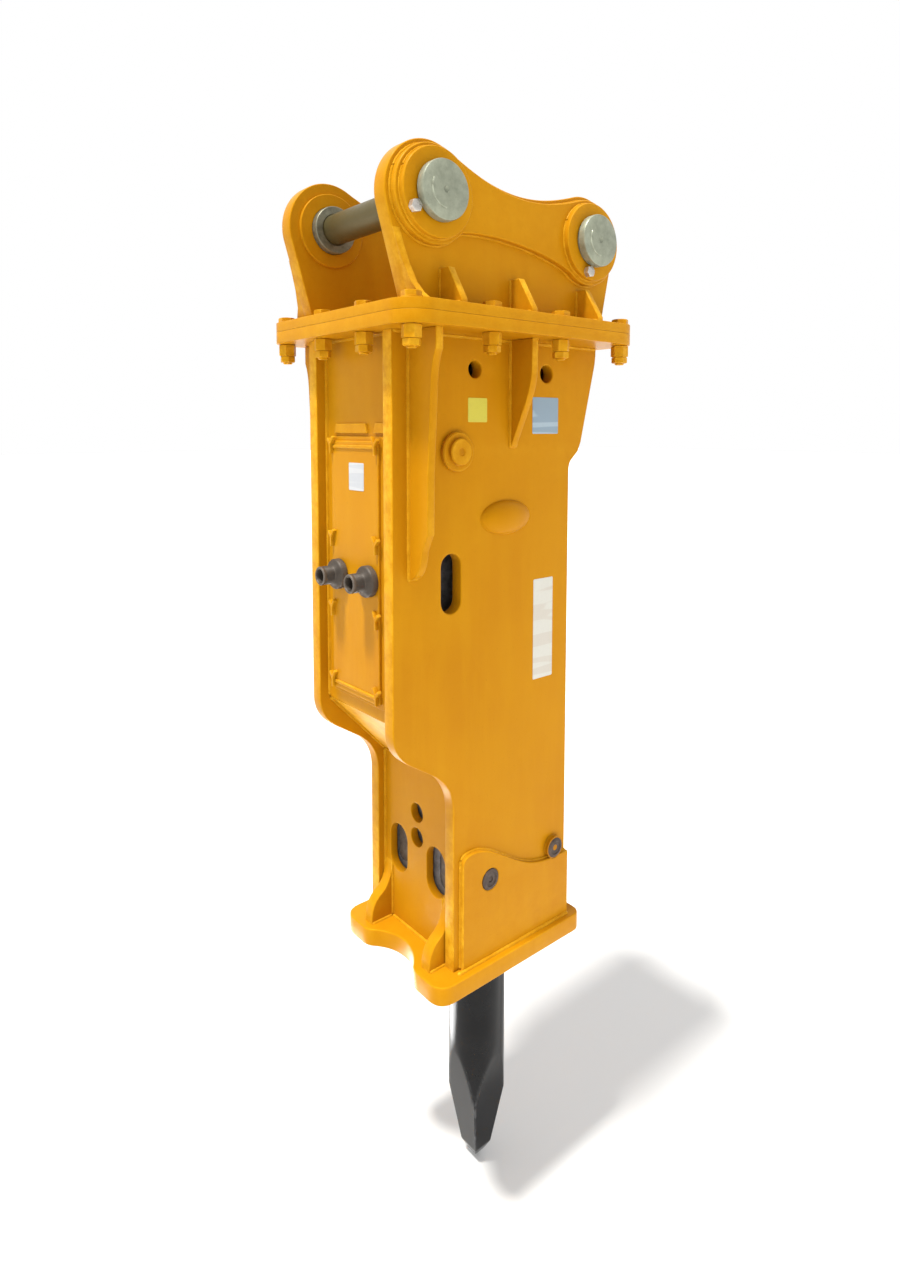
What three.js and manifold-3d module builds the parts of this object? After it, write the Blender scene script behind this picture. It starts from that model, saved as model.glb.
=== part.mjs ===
// Hydraulic breaker hammer, box-housing type, for an excavator of about 20 tonnes.
// Millimetres, +Z up. The tool axis is vertical. While building, x = 0 and y = 0 are the tool axis
// and z = 0 is the underside of the housing flange. The whole model is then shifted so that the
// origin is the middle of the stick pin. -X is the side with the hose fittings, "near" is the -Y side.
import * as THREE from 'three';
import { mergeVertices } from 'three/addons/utils/BufferGeometryUtils.js';
import Module from 'manifold-3d';

const wasm = await Module();
wasm.setup();

// ---------------------------------------------------------------- driving dimensions
const GAP = 0.3;               // gap left between pieces that touch
const SIDES = [['near', -1], ['far', 1]];

// pins and bracket
const STICK = { x: -303, z: 250 };   // stick pin centre
const LINK = { x: 140, z: 224 };     // link pin centre
const PIN_R = 32.5;
const PIN_HEAD_R = 56;
const PIN_HEAD_THICK = 22;
const PIN_FAR_STUB = 16;
const EAR_INNER = 160;
const EAR_OUTER = 195;
const EAR_HEAD_R = 104;
const EAR_FOOT_FRONT = -350;
const EAR_FOOT_REAR = 206;
const CHEEK_OUTER = 212;
const CHEEK_HEAD_R = 93;
const BOSS_OUTER = 225;
const BOSS_R = 84;
const BUSH_R = 51;
const BUSH_INNER_FACE = 138;
const INNER_BOSS_R = 80;             // thin boss on the inside of each ear
const INNER_BOSS_FACE = 153;
const GUSSET_X = [-270, -80, 127];
const GUSSET_THICK = 16;
const GUSSET_HIGH = 118;
const FRONT_GUSSET = { reach: 238, top: 180, lip: 6, knee: 12, kneeHigh: 48, lean: 0.3 };
const LOCK_BOLT_AT = 71;             // distance of a lock bolt from its pin's axis
const LOCK_BOLT_R = 8;
const LOCK_HEX_R = 12.4;

// flange joint between bracket and housing
const FLANGE = { x0: -410, x1: 261, halfWide: 268, cornerR: 61 };
const HOUSING_FLANGE_THICK = 25;
const BRACKET_PLATE_TOP = 46;
const BOLT_R = 11;
const BOLT_HEX_R = 19.6;
const BOLT_EDGE = 34;                // bolt centre to flange edge

// housing
const HALF_WIDE = 156;               // outside face of the side plates
const SIDE_THICK = 30;
const WALL_HALF = HALF_WIDE - SIDE_THICK - GAP;
const WALL_THICK = 20;
const REAR_WALL_THICK = 16;
const FRONT_X = -366;                // front edge of the side plates, upper part
const FRONT_LOW_X = -208;            // front edge of the side plates, lower part
const REAR_X = 146;
const FLARE_X = 238;                 // rear edge of the side plates under the flange
const FRONT_WALL_X = -340;
const LOW_WALL_X = -188;
const REAR_WALL_X = 142;
const WALL_END_Z = -800;             // where the upper front wall stops
const STEP_END_Z = -960;
const BOTTOM_TOP_Z = -1371;
const BOTTOM_Z = -1413;
const COVER = { x0: -352, halfWide: 98, z0: -772, z1: -207 };
const PORT = { y: 57, z: -505, endX: -404, tubeR: 20, boreR: 14, collarR: 33, pipeR: 17 };
const SLOT = { x: -215, z0: -577, z1: -450, wide: 54 };
const DAMPER = { x: -203, z: -238, r: 41, capR: 28, stemR: 24 };
const HOOD = { x: -60, z: -384, halfLong: 74, halfHigh: 38, deep: 20 };
const DOUBLER_OUTER = 168;
const CLAW_X = -270;
const CLAW_RECESS_X = -225;
const BOTTOM_REAR_X = 178;
const BOTTOM_HALF = 186;
const FIN = { inner: 96, outer: 124, x: -250, topZ: -1235 };

// power cell
const CELL_HALF = 104;
const BACK_TOP_Z = -80;
const DAMPER_PAD_HALF = 60;          // rubber pad between power cell and bracket
const CELL_JOINT_Z = [-330, -770];   // back head to cylinder, cylinder to front head
const TIE_AT = 84;                   // through bolts, from the tool axis
const TIE_R = 15;
const HEAD_X = [-165, 120];          // front head, front to rear
const HEAD_HALF = 115;
const HEAD_BOTTOM_Z = -1360;
const PISTON = { rodR: 48, landR: 60.5, bottom: -735, top: -235, land0: -610, land1: -455 };
const CHISEL_R = 70;
const CHISEL_TOP_Z = -809;
const CHISEL_TRAVEL = 70;
const CHISEL_ROOM_Z = -733;          // top of the room for the chisel's head, inside the cylinder
const POINT_START_Z = -1727;         // where the four flats of the point begin
const POINT_TAPER = 0.7;             // part of the half width lost by the tip
const POINT_ROUND = 0.12;            // last part of the length, where the tip rounds off
const TIP_Z = -2039;
const ROD_PIN = { wide: 44, high: 90, z: -1190 };
const NOTCH_HALF = 58;               // chisel flats, from its axis
const STOP_PIN_X = [-110, 100];
const STOP_PIN_R = 12;
const STOP_HEAD_R = 23.5;
const SPOOL = { x: -150, r: 20, z0: -600, z1: -470 };
const VALVE = { x0: -230, halfWide: 85, z0: -640, z1: -380 };
const ACCUMULATOR = { z: -712, r: 57 };

const FINE = 28;                     // sides of a large round shape
const ROUND = 16;
const SMALL = 8;
const CURVE_STEPS = 10;              // straight steps in each arc of an ear or cheek outline

// ---------------------------------------------------------------- materials
const paint = new THREE.MeshStandardMaterial({ color: 0xeda61c, roughness: 0.45, metalness: 0.0 });
const plated = new THREE.MeshStandardMaterial({ color: 0x8d917f, roughness: 0.4, metalness: 0.9 });
const steel = new THREE.MeshStandardMaterial({ color: 0x77726b, roughness: 0.5, metalness: 0.9 });
const toolSteel = new THREE.MeshStandardMaterial({ color: 0x121214, roughness: 0.25, metalness: 0.6 });
const iron = new THREE.MeshStandardMaterial({ color: 0x4a4a4c, roughness: 0.6, metalness: 0.7 });
const rubber = new THREE.MeshStandardMaterial({ color: 0x1b1b1b, roughness: 0.85, metalness: 0.0 });

// ---------------------------------------------------------------- solids
function solid(geometry) {
  const bare = geometry.index ? geometry.toNonIndexed() : geometry.clone();
  bare.deleteAttribute('normal');
  bare.deleteAttribute('uv');
  const merged = mergeVertices(bare, 1e-4);
  return new wasm.Manifold(new wasm.Mesh({
    numProp: 3,
    vertProperties: new Float32Array(merged.attributes.position.array),
    triVerts: new Uint32Array(merged.index.array),
  }));
}

const X = new THREE.Vector3(1, 0, 0);
const Y = new THREE.Vector3(0, 1, 0);
const Z = new THREE.Vector3(0, 0, 1);
const NEGATIVE_Y = new THREE.Vector3(0, -1, 0);

function extrude(shape, depth, curveSegments = 12) {
  return new THREE.ExtrudeGeometry(shape, { depth, bevelEnabled: false, curveSegments });
}

// an outline in (x, y), between two heights
function slabZ(shape, z0, z1, curveSegments) {
  return solid(extrude(shape, z1 - z0, curveSegments).translate(0, 0, z0));
}

// an outline in (x, z), between two distances from the middle plane on one side
function slabY(shape, side, inner, outer, curveSegments) {
  const turn = new THREE.Matrix4().makeBasis(X, Z, NEGATIVE_Y);
  const high = side < 0 ? -inner : outer;
  return solid(extrude(shape, outer - inner, curveSegments).applyMatrix4(turn).translate(0, high, 0));
}

// an outline in (y, z), between two x positions
function slabX(shape, x0, x1, curveSegments) {
  const turn = new THREE.Matrix4().makeBasis(Y, Z, X);
  return solid(extrude(shape, x1 - x0, curveSegments).applyMatrix4(turn).translate(x0, 0, 0));
}

function box(x0, x1, y0, y1, z0, z1) {
  const geometry = new THREE.BoxGeometry(x1 - x0, y1 - y0, z1 - z0);
  return solid(geometry.translate((x0 + x1) / 2, (y0 + y1) / 2, (z0 + z1) / 2));
}

// cylinders along each axis; four or six sides make bars and hexagons
function rodZ(x, y, r, z0, z1, sides = ROUND) {
  const geometry = new THREE.CylinderGeometry(r, r, z1 - z0, sides).rotateX(Math.PI / 2);
  return solid(geometry.translate(x, y, (z0 + z1) / 2));
}

function rodY(x, z, r, y0, y1, sides = ROUND) {
  return solid(new THREE.CylinderGeometry(r, r, y1 - y0, sides).translate(x, (y0 + y1) / 2, z));
}

function rodX(y, z, r, x0, x1, sides = ROUND) {
  const geometry = new THREE.CylinderGeometry(r, r, x1 - x0, sides).rotateZ(Math.PI / 2);
  return solid(geometry.translate((x0 + x1) / 2, y, z));
}

// a turned shape about the tool axis: pairs of radius and height, from bottom to top
function turned(profile, sides = FINE) {
  const points = profile.map(([r, z]) => new THREE.Vector2(r, z));
  return solid(new THREE.LatheGeometry(points, sides).rotateX(Math.PI / 2));
}

function polygon(points) {
  return new THREE.Shape(points.map(([a, b]) => new THREE.Vector2(a, b)));
}

function ring(x, z, r, inner, outer, side, sides = FINE) {
  return rodY(x, z, r, Math.min(side * inner, side * outer), Math.max(side * inner, side * outer), sides);
}

function stadium(a, b, wide, high) {
  const r = wide / 2;
  const shape = new THREE.Shape();
  shape.moveTo(a + r, b - high / 2 + r);
  shape.lineTo(a + r, b + high / 2 - r);
  shape.absarc(a, b + high / 2 - r, r, 0, Math.PI, false);
  shape.lineTo(a - r, b - high / 2 + r);
  shape.absarc(a, b - high / 2 + r, r, Math.PI, 2 * Math.PI, false);
  return shape;
}

const hammer = new THREE.Group();
hammer.position.set(-STICK.x, 0, -STICK.z);

function add(name, body, material) {
  const mesh = body.getMesh();
  const geometry = new THREE.BufferGeometry();
  geometry.setAttribute('position', new THREE.BufferAttribute(new Float32Array(mesh.vertProperties), 3));
  geometry.setIndex(new THREE.BufferAttribute(new Uint32Array(mesh.triVerts), 1));
  geometry.computeVertexNormals();
  const piece = new THREE.Mesh(geometry, material);
  piece.name = name;
  hammer.add(piece);
}

// ---------------------------------------------------------------- flange joint
function flangeShape() {
  const { x0, x1, halfWide, cornerR: r } = FLANGE;
  const shape = new THREE.Shape();
  shape.moveTo(x0 + r, -halfWide);
  shape.lineTo(x1 - r, -halfWide);
  shape.absarc(x1 - r, -halfWide + r, r, -Math.PI / 2, 0, false);
  shape.lineTo(x1, halfWide - r);
  shape.absarc(x1 - r, halfWide - r, r, 0, Math.PI / 2, false);
  shape.lineTo(x0 + r, halfWide);
  shape.absarc(x0 + r, halfWide - r, r, Math.PI / 2, Math.PI, false);
  shape.lineTo(x0, -halfWide + r);
  shape.absarc(x0 + r, -halfWide + r, r, Math.PI, 1.5 * Math.PI, false);
  return shape;
}

// twelve places: four along each long side and two between them on each short side
function boltPlaces() {
  const middle = (FLANGE.x0 + FLANGE.x1) / 2;
  const reachX = (FLANGE.x1 - FLANGE.x0) / 2 - BOLT_EDGE;
  const reachY = FLANGE.halfWide - BOLT_EDGE;
  const places = [];
  for (const side of [-1, 1]) {
    for (const step of [-1, -1 / 3, 1 / 3, 1]) places.push([middle + step * reachX, side * reachY]);
  }
  for (const end of [-1, 1]) {
    for (const step of [-1 / 3, 1 / 3]) places.push([middle + end * reachX, step * reachY]);
  }
  return places;
}

function drillFlange(body, z0, z1) {
  let drilled = body;
  for (const [x, y] of boltPlaces()) {
    drilled = drilled.subtract(rodZ(x, y, BOLT_R + 0.8, z0 - 1, z1 + 1, SMALL));
  }
  return drilled;
}

function makeFlangeJoint() {
  const padHole = DAMPER_PAD_HALF + 2;
  const opening = box(-padHole, padHole, -padHole, padHole, -1, HOUSING_FLANGE_THICK + 1);
  const lower = slabZ(flangeShape(), 0, HOUSING_FLANGE_THICK, 5).subtract(opening);
  add('housing_top_flange', drillFlange(lower, 0, HOUSING_FLANGE_THICK), paint);

  const plateBottom = HOUSING_FLANGE_THICK + GAP;
  const upper = slabZ(flangeShape(), plateBottom, BRACKET_PLATE_TOP, 5);
  add('bracket_base_plate', drillFlange(upper, plateBottom, BRACKET_PLATE_TOP), paint);

  const headHigh = 14;
  const nutHigh = 26;
  const lockNutEnd = 40;
  const tail = 44;
  boltPlaces().forEach(([x, y], index) => {
    const bolt = rodZ(x, y, BOLT_R, -tail, BRACKET_PLATE_TOP + 5, SMALL)
      .add(rodZ(x, y, BOLT_HEX_R, BRACKET_PLATE_TOP + GAP, BRACKET_PLATE_TOP + headHigh, 6))
      .add(rodZ(x, y, BOLT_HEX_R, -nutHigh, -GAP, 6))
      .add(rodZ(x, y, BOLT_HEX_R - 2, -lockNutEnd, -nutHigh + 1, 6));
    add(`flange_bolt_${String(index + 1).padStart(2, '0')}`, bolt, paint);
  });
}

// ---------------------------------------------------------------- bracket
const degrees = THREE.MathUtils.degToRad;

function onCircle(centre, r, angle) {
  return [centre.x + r * Math.cos(degrees(angle)), centre.z + r * Math.sin(degrees(angle))];
}

// angle at which a line from (x, z) touches the circle, on the side given by sign
function tangentAngle(centre, r, x, z, sign) {
  const dx = x - centre.x;
  const dz = z - centre.z;
  return Math.atan2(dz, dx) + sign * Math.acos(r / Math.hypot(dx, dz));
}

const SADDLE_FROM = 65;    // degrees on the stick head and on the link head where the saddle joins
const SADDLE_TO = 108;

function saddle(shape, r, drop) {
  const [bx, bz] = onCircle(LINK, r, SADDLE_TO);
  shape.bezierCurveTo(STICK.x + 194 - drop / 3, STICK.z + 24 - drop, LINK.x - 151 + drop / 3,
    LINK.z + 60 - drop, bx, bz);
}

function earShape() {
  const foot = BRACKET_PLATE_TOP + GAP;
  const front = tangentAngle(STICK, EAR_HEAD_R, EAR_FOOT_FRONT, foot, -1);
  const rear = tangentAngle(LINK, EAR_HEAD_R, EAR_FOOT_REAR, foot, 1);
  const shape = new THREE.Shape();
  shape.moveTo(EAR_FOOT_REAR, foot);
  shape.lineTo(EAR_FOOT_FRONT, foot);
  shape.absarc(STICK.x, STICK.z, EAR_HEAD_R, front, degrees(SADDLE_FROM), true);
  saddle(shape, EAR_HEAD_R, 0);
  shape.absarc(LINK.x, LINK.z, EAR_HEAD_R, degrees(SADDLE_TO), rear, true);
  return shape;
}

function cheekShape() {
  const archFrom = 232;      // degrees on the link head
  const archTo = -42;        // degrees on the stick head
  const [ex, ez] = onCircle(STICK, CHEEK_HEAD_R, archTo);
  const shape = new THREE.Shape();
  shape.moveTo(...onCircle(STICK, CHEEK_HEAD_R, SADDLE_FROM));
  saddle(shape, CHEEK_HEAD_R, EAR_HEAD_R - CHEEK_HEAD_R);
  shape.absarc(LINK.x, LINK.z, CHEEK_HEAD_R, degrees(SADDLE_TO), degrees(archFrom - 360), true);
  shape.bezierCurveTo(LINK.x - 125, LINK.z - 40, STICK.x + 153, STICK.z - 47, ex, ez);
  shape.absarc(STICK.x, STICK.z, CHEEK_HEAD_R, degrees(archTo), degrees(SADDLE_FROM - 360), true);
  return shape;
}

const LOCK_ANGLE = { stick: 211, link: 254 };

function lockPlace(pin, angle) {
  return onCircle(pin, LOCK_BOLT_AT, angle);
}

function drillEar(body, side) {
  let drilled = body;
  for (const pin of [STICK, LINK]) {
    drilled = drilled.subtract(ring(pin.x, pin.z, BUSH_R + GAP, INNER_BOSS_FACE - 5, BOSS_OUTER + 5, side));
  }
  if (side > 0) return drilled;
  for (const [x, z] of [lockPlace(STICK, LOCK_ANGLE.stick), lockPlace(LINK, LOCK_ANGLE.link)]) {
    drilled = drilled.subtract(rodY(x, z, LOCK_BOLT_R + 0.5, -BOSS_OUTER - 5, -INNER_BOSS_FACE + 5, SMALL));
  }
  return drilled;
}

// a gusset stands outside the ear on the base plate, square to the ear
function gusset(x, side) {
  const foot = BRACKET_PLATE_TOP + GAP;
  const reach = FLANGE.halfWide - 8;
  const points = [[EAR_OUTER - 5, foot], [reach, foot], [reach, foot + 8], [EAR_OUTER + 26, GUSSET_HIGH],
    [EAR_OUTER - 5, GUSSET_HIGH]];
  return slabX(polygon(points.map(([y, z]) => [side * y, z])), x - GUSSET_THICK / 2, x + GUSSET_THICK / 2);
}

// a tall gusset along the sloping front edge of the ear
function frontGusset(side) {
  const foot = BRACKET_PLATE_TOP + GAP;
  const { reach, top, lip, knee, kneeHigh, lean } = FRONT_GUSSET;
  const along = (x, z) => [x - lean * (z - foot), z];
  const rear = EAR_FOOT_FRONT + GUSSET_THICK;
  const sheet = polygon([along(EAR_FOOT_FRONT, foot), along(rear, foot), along(rear, top),
    along(EAR_FOOT_FRONT, top)]);
  const outline = [[EAR_OUTER - 5, foot], [reach, foot], [reach, foot + lip],
    [EAR_OUTER + knee, foot + kneeHigh], [EAR_OUTER + 1, top], [EAR_OUTER - 5, top]];
  const across = slabX(polygon(outline.map(([y, z]) => [side * y, z])), FLANGE.x0 - 100, 0);
  return slabY(sheet, side, EAR_OUTER - 5, reach).intersect(across);
}

function makeBracket() {
  for (const [word, side] of SIDES) {
    let ear = slabY(earShape(), side, EAR_INNER, EAR_OUTER, CURVE_STEPS).add(frontGusset(side));
    for (const x of GUSSET_X) ear = ear.add(gusset(x, side));
    for (const pin of [STICK, LINK]) {
      ear = ear.add(ring(pin.x, pin.z, INNER_BOSS_R, INNER_BOSS_FACE, EAR_INNER + 5, side));
    }
    add(`bracket_ear_${word}`, drillEar(ear, side), paint);

    let cheek = slabY(cheekShape(), side, EAR_OUTER + GAP, CHEEK_OUTER, CURVE_STEPS);
    for (const pin of [STICK, LINK]) {
      cheek = cheek.add(ring(pin.x, pin.z, BOSS_R, CHEEK_OUTER - 5, BOSS_OUTER, side));
    }
    add(`bracket_cheek_${word}`, drillEar(cheek, side), paint);

    for (const [pinWord, pin] of [['stick', STICK], ['link', LINK]]) {
      const bush = ring(pin.x, pin.z, BUSH_R, BUSH_INNER_FACE, BOSS_OUTER, side)
        .subtract(ring(pin.x, pin.z, PIN_R + 0.6, BUSH_INNER_FACE - 5, BOSS_OUTER + 5, side));
      add(`${pinWord}_bush_${word}`, bush, steel);
    }
  }
}

function makePins() {
  const headStart = -(BOSS_OUTER + GAP);
  const headEnd = headStart - PIN_HEAD_THICK;
  for (const [word, pin] of [['stick', STICK], ['link', LINK]]) {
    const shaft = rodY(pin.x, pin.z, PIN_R, headStart - 5, BOSS_OUTER + PIN_FAR_STUB, FINE);
    add(`${word}_pin`, shaft.add(rodY(pin.x, pin.z, PIN_HEAD_R, headEnd, headStart, FINE)), plated);

    const [x, z] = lockPlace(pin, LOCK_ANGLE[word]);
    const nutFace = -INNER_BOSS_FACE + GAP;
    const bolt = rodY(x, z, LOCK_BOLT_R, headStart - 5, nutFace + 18, SMALL)
      .add(rodY(x, z, LOCK_HEX_R, headStart - 12, headStart, 6))
      .add(rodY(x, z, LOCK_HEX_R, nutFace, nutFace + 13, 6));
    add(`${word}_pin_lock_bolt`, bolt, plated);
  }
}

// ---------------------------------------------------------------- housing
function sidePlateShape() {
  const shape = new THREE.Shape();
  shape.moveTo(FRONT_X, -GAP);
  shape.lineTo(FRONT_X, WALL_END_Z);
  shape.quadraticCurveTo(FRONT_X, -848, -320, -877);
  shape.lineTo(-262, -914);
  shape.quadraticCurveTo(FRONT_LOW_X, -950, FRONT_LOW_X, -1012);
  shape.lineTo(FRONT_LOW_X, BOTTOM_TOP_Z + GAP);
  shape.lineTo(REAR_X, BOTTOM_TOP_Z + GAP);
  shape.lineTo(REAR_X, -292);
  shape.quadraticCurveTo(REAR_X, -272, 156, -263);
  shape.lineTo(178, -244);
  shape.lineTo(188, -222);
  shape.lineTo(FLARE_X - 5, -46);
  shape.quadraticCurveTo(FLARE_X, -26, FLARE_X, -GAP);
  return shape;
}

// Ribs outside the side plate, as outlines of (distance from the middle plane, z).
// Each is closed on the inside of the plate.
const RIB_THICK = 18;
const RIB_ROOT = HALF_WIDE - 5;

function frontRib() {
  const shape = new THREE.Shape();
  shape.moveTo(RIB_ROOT, -GAP);
  shape.lineTo(244, -GAP);
  shape.lineTo(244, -40);
  shape.quadraticCurveTo(232, -60, 229, -100);
  shape.lineTo(218, -275);
  shape.lineTo(217, -396);
  shape.quadraticCurveTo(206, -414, 199, -432);
  shape.quadraticCurveTo(194, -478, 170, -488);
  shape.lineTo(RIB_ROOT, -496);
  return shape;
}

function middleRib() {
  const shape = new THREE.Shape();
  shape.moveTo(RIB_ROOT, -GAP);
  shape.lineTo(223, -GAP);
  shape.lineTo(222, -72);
  shape.quadraticCurveTo(218, -104, 203, -138);
  shape.lineTo(164, -222);
  shape.quadraticCurveTo(160, -234, RIB_ROOT, -236);
  return shape;
}

const RIBS = [
  { x: -326, shape: frontRib() },
  { x: -48, shape: middleRib() },
];

function mirrored(shape, side) {
  if (side > 0) return shape;
  return new THREE.Shape(shape.getPoints(6).map((point) => new THREE.Vector2(-point.x, point.y)));
}

function hood(side) {
  return solid(new THREE.SphereGeometry(1, ROUND, 8)
    .scale(HOOD.halfLong, HOOD.deep, HOOD.halfHigh)
    .translate(HOOD.x, side * HALF_WIDE, HOOD.z));
}

const STOP_HOLE_R = STOP_HEAD_R + 0.7;

function makeSidePlates() {
  const smallHoles = [[-150, 18], [67, 20]];
  const smallHoleZ = -67;
  for (const [word, side] of SIDES) {
    const inner = HALF_WIDE - SIDE_THICK;
    const cutter = (x, z, r, sides) => ring(x, z, r, inner - 5, HALF_WIDE + 5, side, sides);
    let plate = slabY(sidePlateShape(), side, inner, HALF_WIDE, 6);
    for (const rib of RIBS) plate = plate.add(slabX(mirrored(rib.shape, side), rib.x, rib.x + RIB_THICK, 6));
    plate = plate.add(hood(side));
    for (const [x, r] of smallHoles) plate = plate.subtract(cutter(x, smallHoleZ, r, ROUND));
    for (const x of STOP_PIN_X) plate = plate.subtract(cutter(x, ROD_PIN.z, STOP_HOLE_R, ROUND));
    plate = plate.subtract(cutter(DAMPER.x, DAMPER.z, DAMPER.stemR + 0.5, ROUND));
    const slot = stadium(SLOT.x, (SLOT.z0 + SLOT.z1) / 2, SLOT.wide, SLOT.z1 - SLOT.z0);
    plate = plate.subtract(slabY(slot, side, inner - 5, HALF_WIDE + 5, 6));
    add(`housing_side_plate_${word}`, plate, paint);
  }
}

function wallShape(z0, z1) {
  return polygon([[-WALL_HALF, z0], [WALL_HALF, z0], [WALL_HALF, z1], [-WALL_HALF, z1]]);
}

function makeWalls() {
  const access = box(FRONT_WALL_X - 5, FRONT_WALL_X + WALL_THICK + 5, -80, 80, -600, -400);
  const front = slabX(wallShape(WALL_END_Z, -GAP), FRONT_WALL_X, FRONT_WALL_X + WALL_THICK);
  add('housing_front_wall', front.subtract(access), paint);

  const step = polygon([[FRONT_WALL_X, WALL_END_Z - GAP], [LOW_WALL_X, STEP_END_Z],
    [LOW_WALL_X + WALL_THICK, STEP_END_Z], [FRONT_WALL_X + WALL_THICK, WALL_END_Z - GAP]]);
  add('housing_step_plate', slabY(step, 1, -WALL_HALF, WALL_HALF), paint);

  let low = slabX(wallShape(BOTTOM_TOP_Z + GAP, STEP_END_Z - GAP), LOW_WALL_X, LOW_WALL_X + WALL_THICK);
  const x0 = LOW_WALL_X - 5;
  const x1 = LOW_WALL_X + WALL_THICK + 5;
  for (const y of [-70, 70]) low = low.subtract(slabX(stadium(y, ROD_PIN.z, 66, 116), x0, x1, 6));
  for (const z of [-1077, -1136]) low = low.subtract(rodX(0, z, 22, x0, x1));
  add('housing_lower_front_wall', low, paint);

  const rear = slabX(wallShape(BOTTOM_TOP_Z + GAP, -GAP), REAR_WALL_X - REAR_WALL_THICK, REAR_WALL_X);
  add('housing_rear_wall', rear, paint);
}

function bottomShape() {
  const r = 25;
  const w = BOTTOM_HALF;
  const shape = new THREE.Shape();
  shape.moveTo(CLAW_X + 42, -w);
  shape.lineTo(BOTTOM_REAR_X - r, -w);
  shape.absarc(BOTTOM_REAR_X - r, -w + r, r, -Math.PI / 2, 0, false);
  shape.absarc(BOTTOM_REAR_X - r, w - r, r, 0, Math.PI / 2, false);
  shape.lineTo(CLAW_X + 42, w);
  shape.quadraticCurveTo(CLAW_X, w, CLAW_X, w - 42);
  shape.lineTo(CLAW_X, 108);
  shape.quadraticCurveTo(CLAW_X, 88, CLAW_X + 13, 76);
  shape.quadraticCurveTo(CLAW_RECESS_X, 42, CLAW_RECESS_X, 0);
  shape.quadraticCurveTo(CLAW_RECESS_X, -42, CLAW_X + 13, -76);
  shape.quadraticCurveTo(CLAW_X, -88, CLAW_X, -108);
  shape.lineTo(CLAW_X, -w + 42);
  shape.quadraticCurveTo(CLAW_X, -w, CLAW_X + 42, -w);
  return shape;
}

const BUSH_LOW = { inner: CHISEL_R + 1, outer: 92, z0: -1403, z1: -1245 };
const BUSH_HIGH = { inner: CHISEL_R + 1, outer: 88, z0: -999.7, z1: -880 };

function makeBottomPlate() {
  const finFoot = BOTTOM_TOP_Z - 5;
  const back = LOW_WALL_X - GAP;
  const fin = new THREE.Shape();
  fin.moveTo(back, finFoot);
  fin.lineTo(back, FIN.topZ);
  fin.quadraticCurveTo(-196, -1290, -220, -1304);
  fin.quadraticCurveTo(FIN.x, -1322, FIN.x, -1362);
  fin.lineTo(FIN.x, finFoot);
  let plate = slabZ(bottomShape(), BOTTOM_Z, BOTTOM_TOP_Z, 6);
  for (const [, side] of SIDES) plate = plate.add(slabY(fin, side, FIN.inner, FIN.outer, 6));
  plate = plate.subtract(rodZ(0, 0, BUSH_LOW.outer + 3, BOTTOM_Z - 5, BOTTOM_TOP_Z + 5, FINE));
  add('housing_bottom_plate', plate, paint);
}

function makeDoublers() {
  const shape = new THREE.Shape();
  shape.moveTo(REAR_X, BOTTOM_TOP_Z + GAP);
  shape.lineTo(REAR_X, -1214);
  shape.lineTo(80, -1211);
  shape.bezierCurveTo(-25, -1206, -85, -1116, -158, -1113);
  shape.quadraticCurveTo(-190, -1112, -190, -1134);
  shape.lineTo(-190, BOTTOM_TOP_Z + GAP);
  for (const [word, side] of SIDES) {
    let doubler = slabY(shape, side, HALF_WIDE + GAP, DOUBLER_OUTER, 8);
    for (const x of STOP_PIN_X) {
      const hole = ring(x, ROD_PIN.z, STOP_HOLE_R, HALF_WIDE - 5, DOUBLER_OUTER + 5, side, ROUND);
      doubler = doubler.subtract(hole);
    }
    add(`lower_doubler_${word}`, doubler, paint);
  }
}

function makeSideDampers() {
  for (const [word, side] of SIDES) {
    const face = HALF_WIDE + GAP;
    const stem = ring(DAMPER.x, DAMPER.z, DAMPER.stemR, CELL_HALF + 3, face + 5, side, ROUND);
    const disc = ring(DAMPER.x, DAMPER.z, DAMPER.r, face, face + 11, side, FINE);
    const cap = ring(DAMPER.x, DAMPER.z, DAMPER.capR, face + 10, face + 20, side, FINE);
    add(`side_damper_${word}`, stem.add(disc).add(cap), paint);
  }
}

// ---------------------------------------------------------------- hydraulic ports
function makePorts() {
  const coverBack = FRONT_WALL_X - GAP;
  let cover = box(COVER.x0, coverBack, -COVER.halfWide, COVER.halfWide, COVER.z0, COVER.z1);
  for (const side of [-1, 1]) {
    cover = cover.subtract(rodX(side * PORT.y, PORT.z, PORT.pipeR + 4, COVER.x0 - 5, coverBack + 5));
  }
  add('port_cover', cover, paint);

  for (const [word, side] of [['pressure', -1], ['return', 1]]) {
    const y = side * PORT.y;
    const collarBack = COVER.x0 - GAP;
    const pipe = rodX(y, PORT.z, PORT.pipeR, collarBack - 5, VALVE.x0 + 15);
    const collar = rodX(y, PORT.z, PORT.collarR, collarBack - 15, collarBack, FINE);
    const tube = rodX(y, PORT.z, PORT.tubeR, PORT.endX, collarBack - 5, FINE);
    const bore = rodX(y, PORT.z, PORT.boreR, PORT.endX - 5, PORT.endX + 34, ROUND);
    add(`hose_fitting_${word}`, pipe.add(collar).add(tube).subtract(bore), steel);
  }
}

// ---------------------------------------------------------------- power cell
const CORNERS = [[-1, -1], [1, -1], [1, 1], [-1, 1]];

function cellBlock(z0, z1) {
  const cut = 22;
  const h = CELL_HALF;
  const shape = polygon([[-h + cut, -h], [h - cut, -h], [h, -h + cut], [h, h - cut], [h - cut, h],
    [-h + cut, h], [-h, h - cut], [-h, -h + cut]]);
  return slabZ(shape, z0, z1);
}

function drillTies(body, z0, z1) {
  let drilled = body;
  for (const [sx, sy] of CORNERS) {
    drilled = drilled.subtract(rodZ(sx * TIE_AT, sy * TIE_AT, TIE_R + 0.5, z0, z1, SMALL));
  }
  return drilled;
}

const TIE_END_Z = -900;

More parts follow.
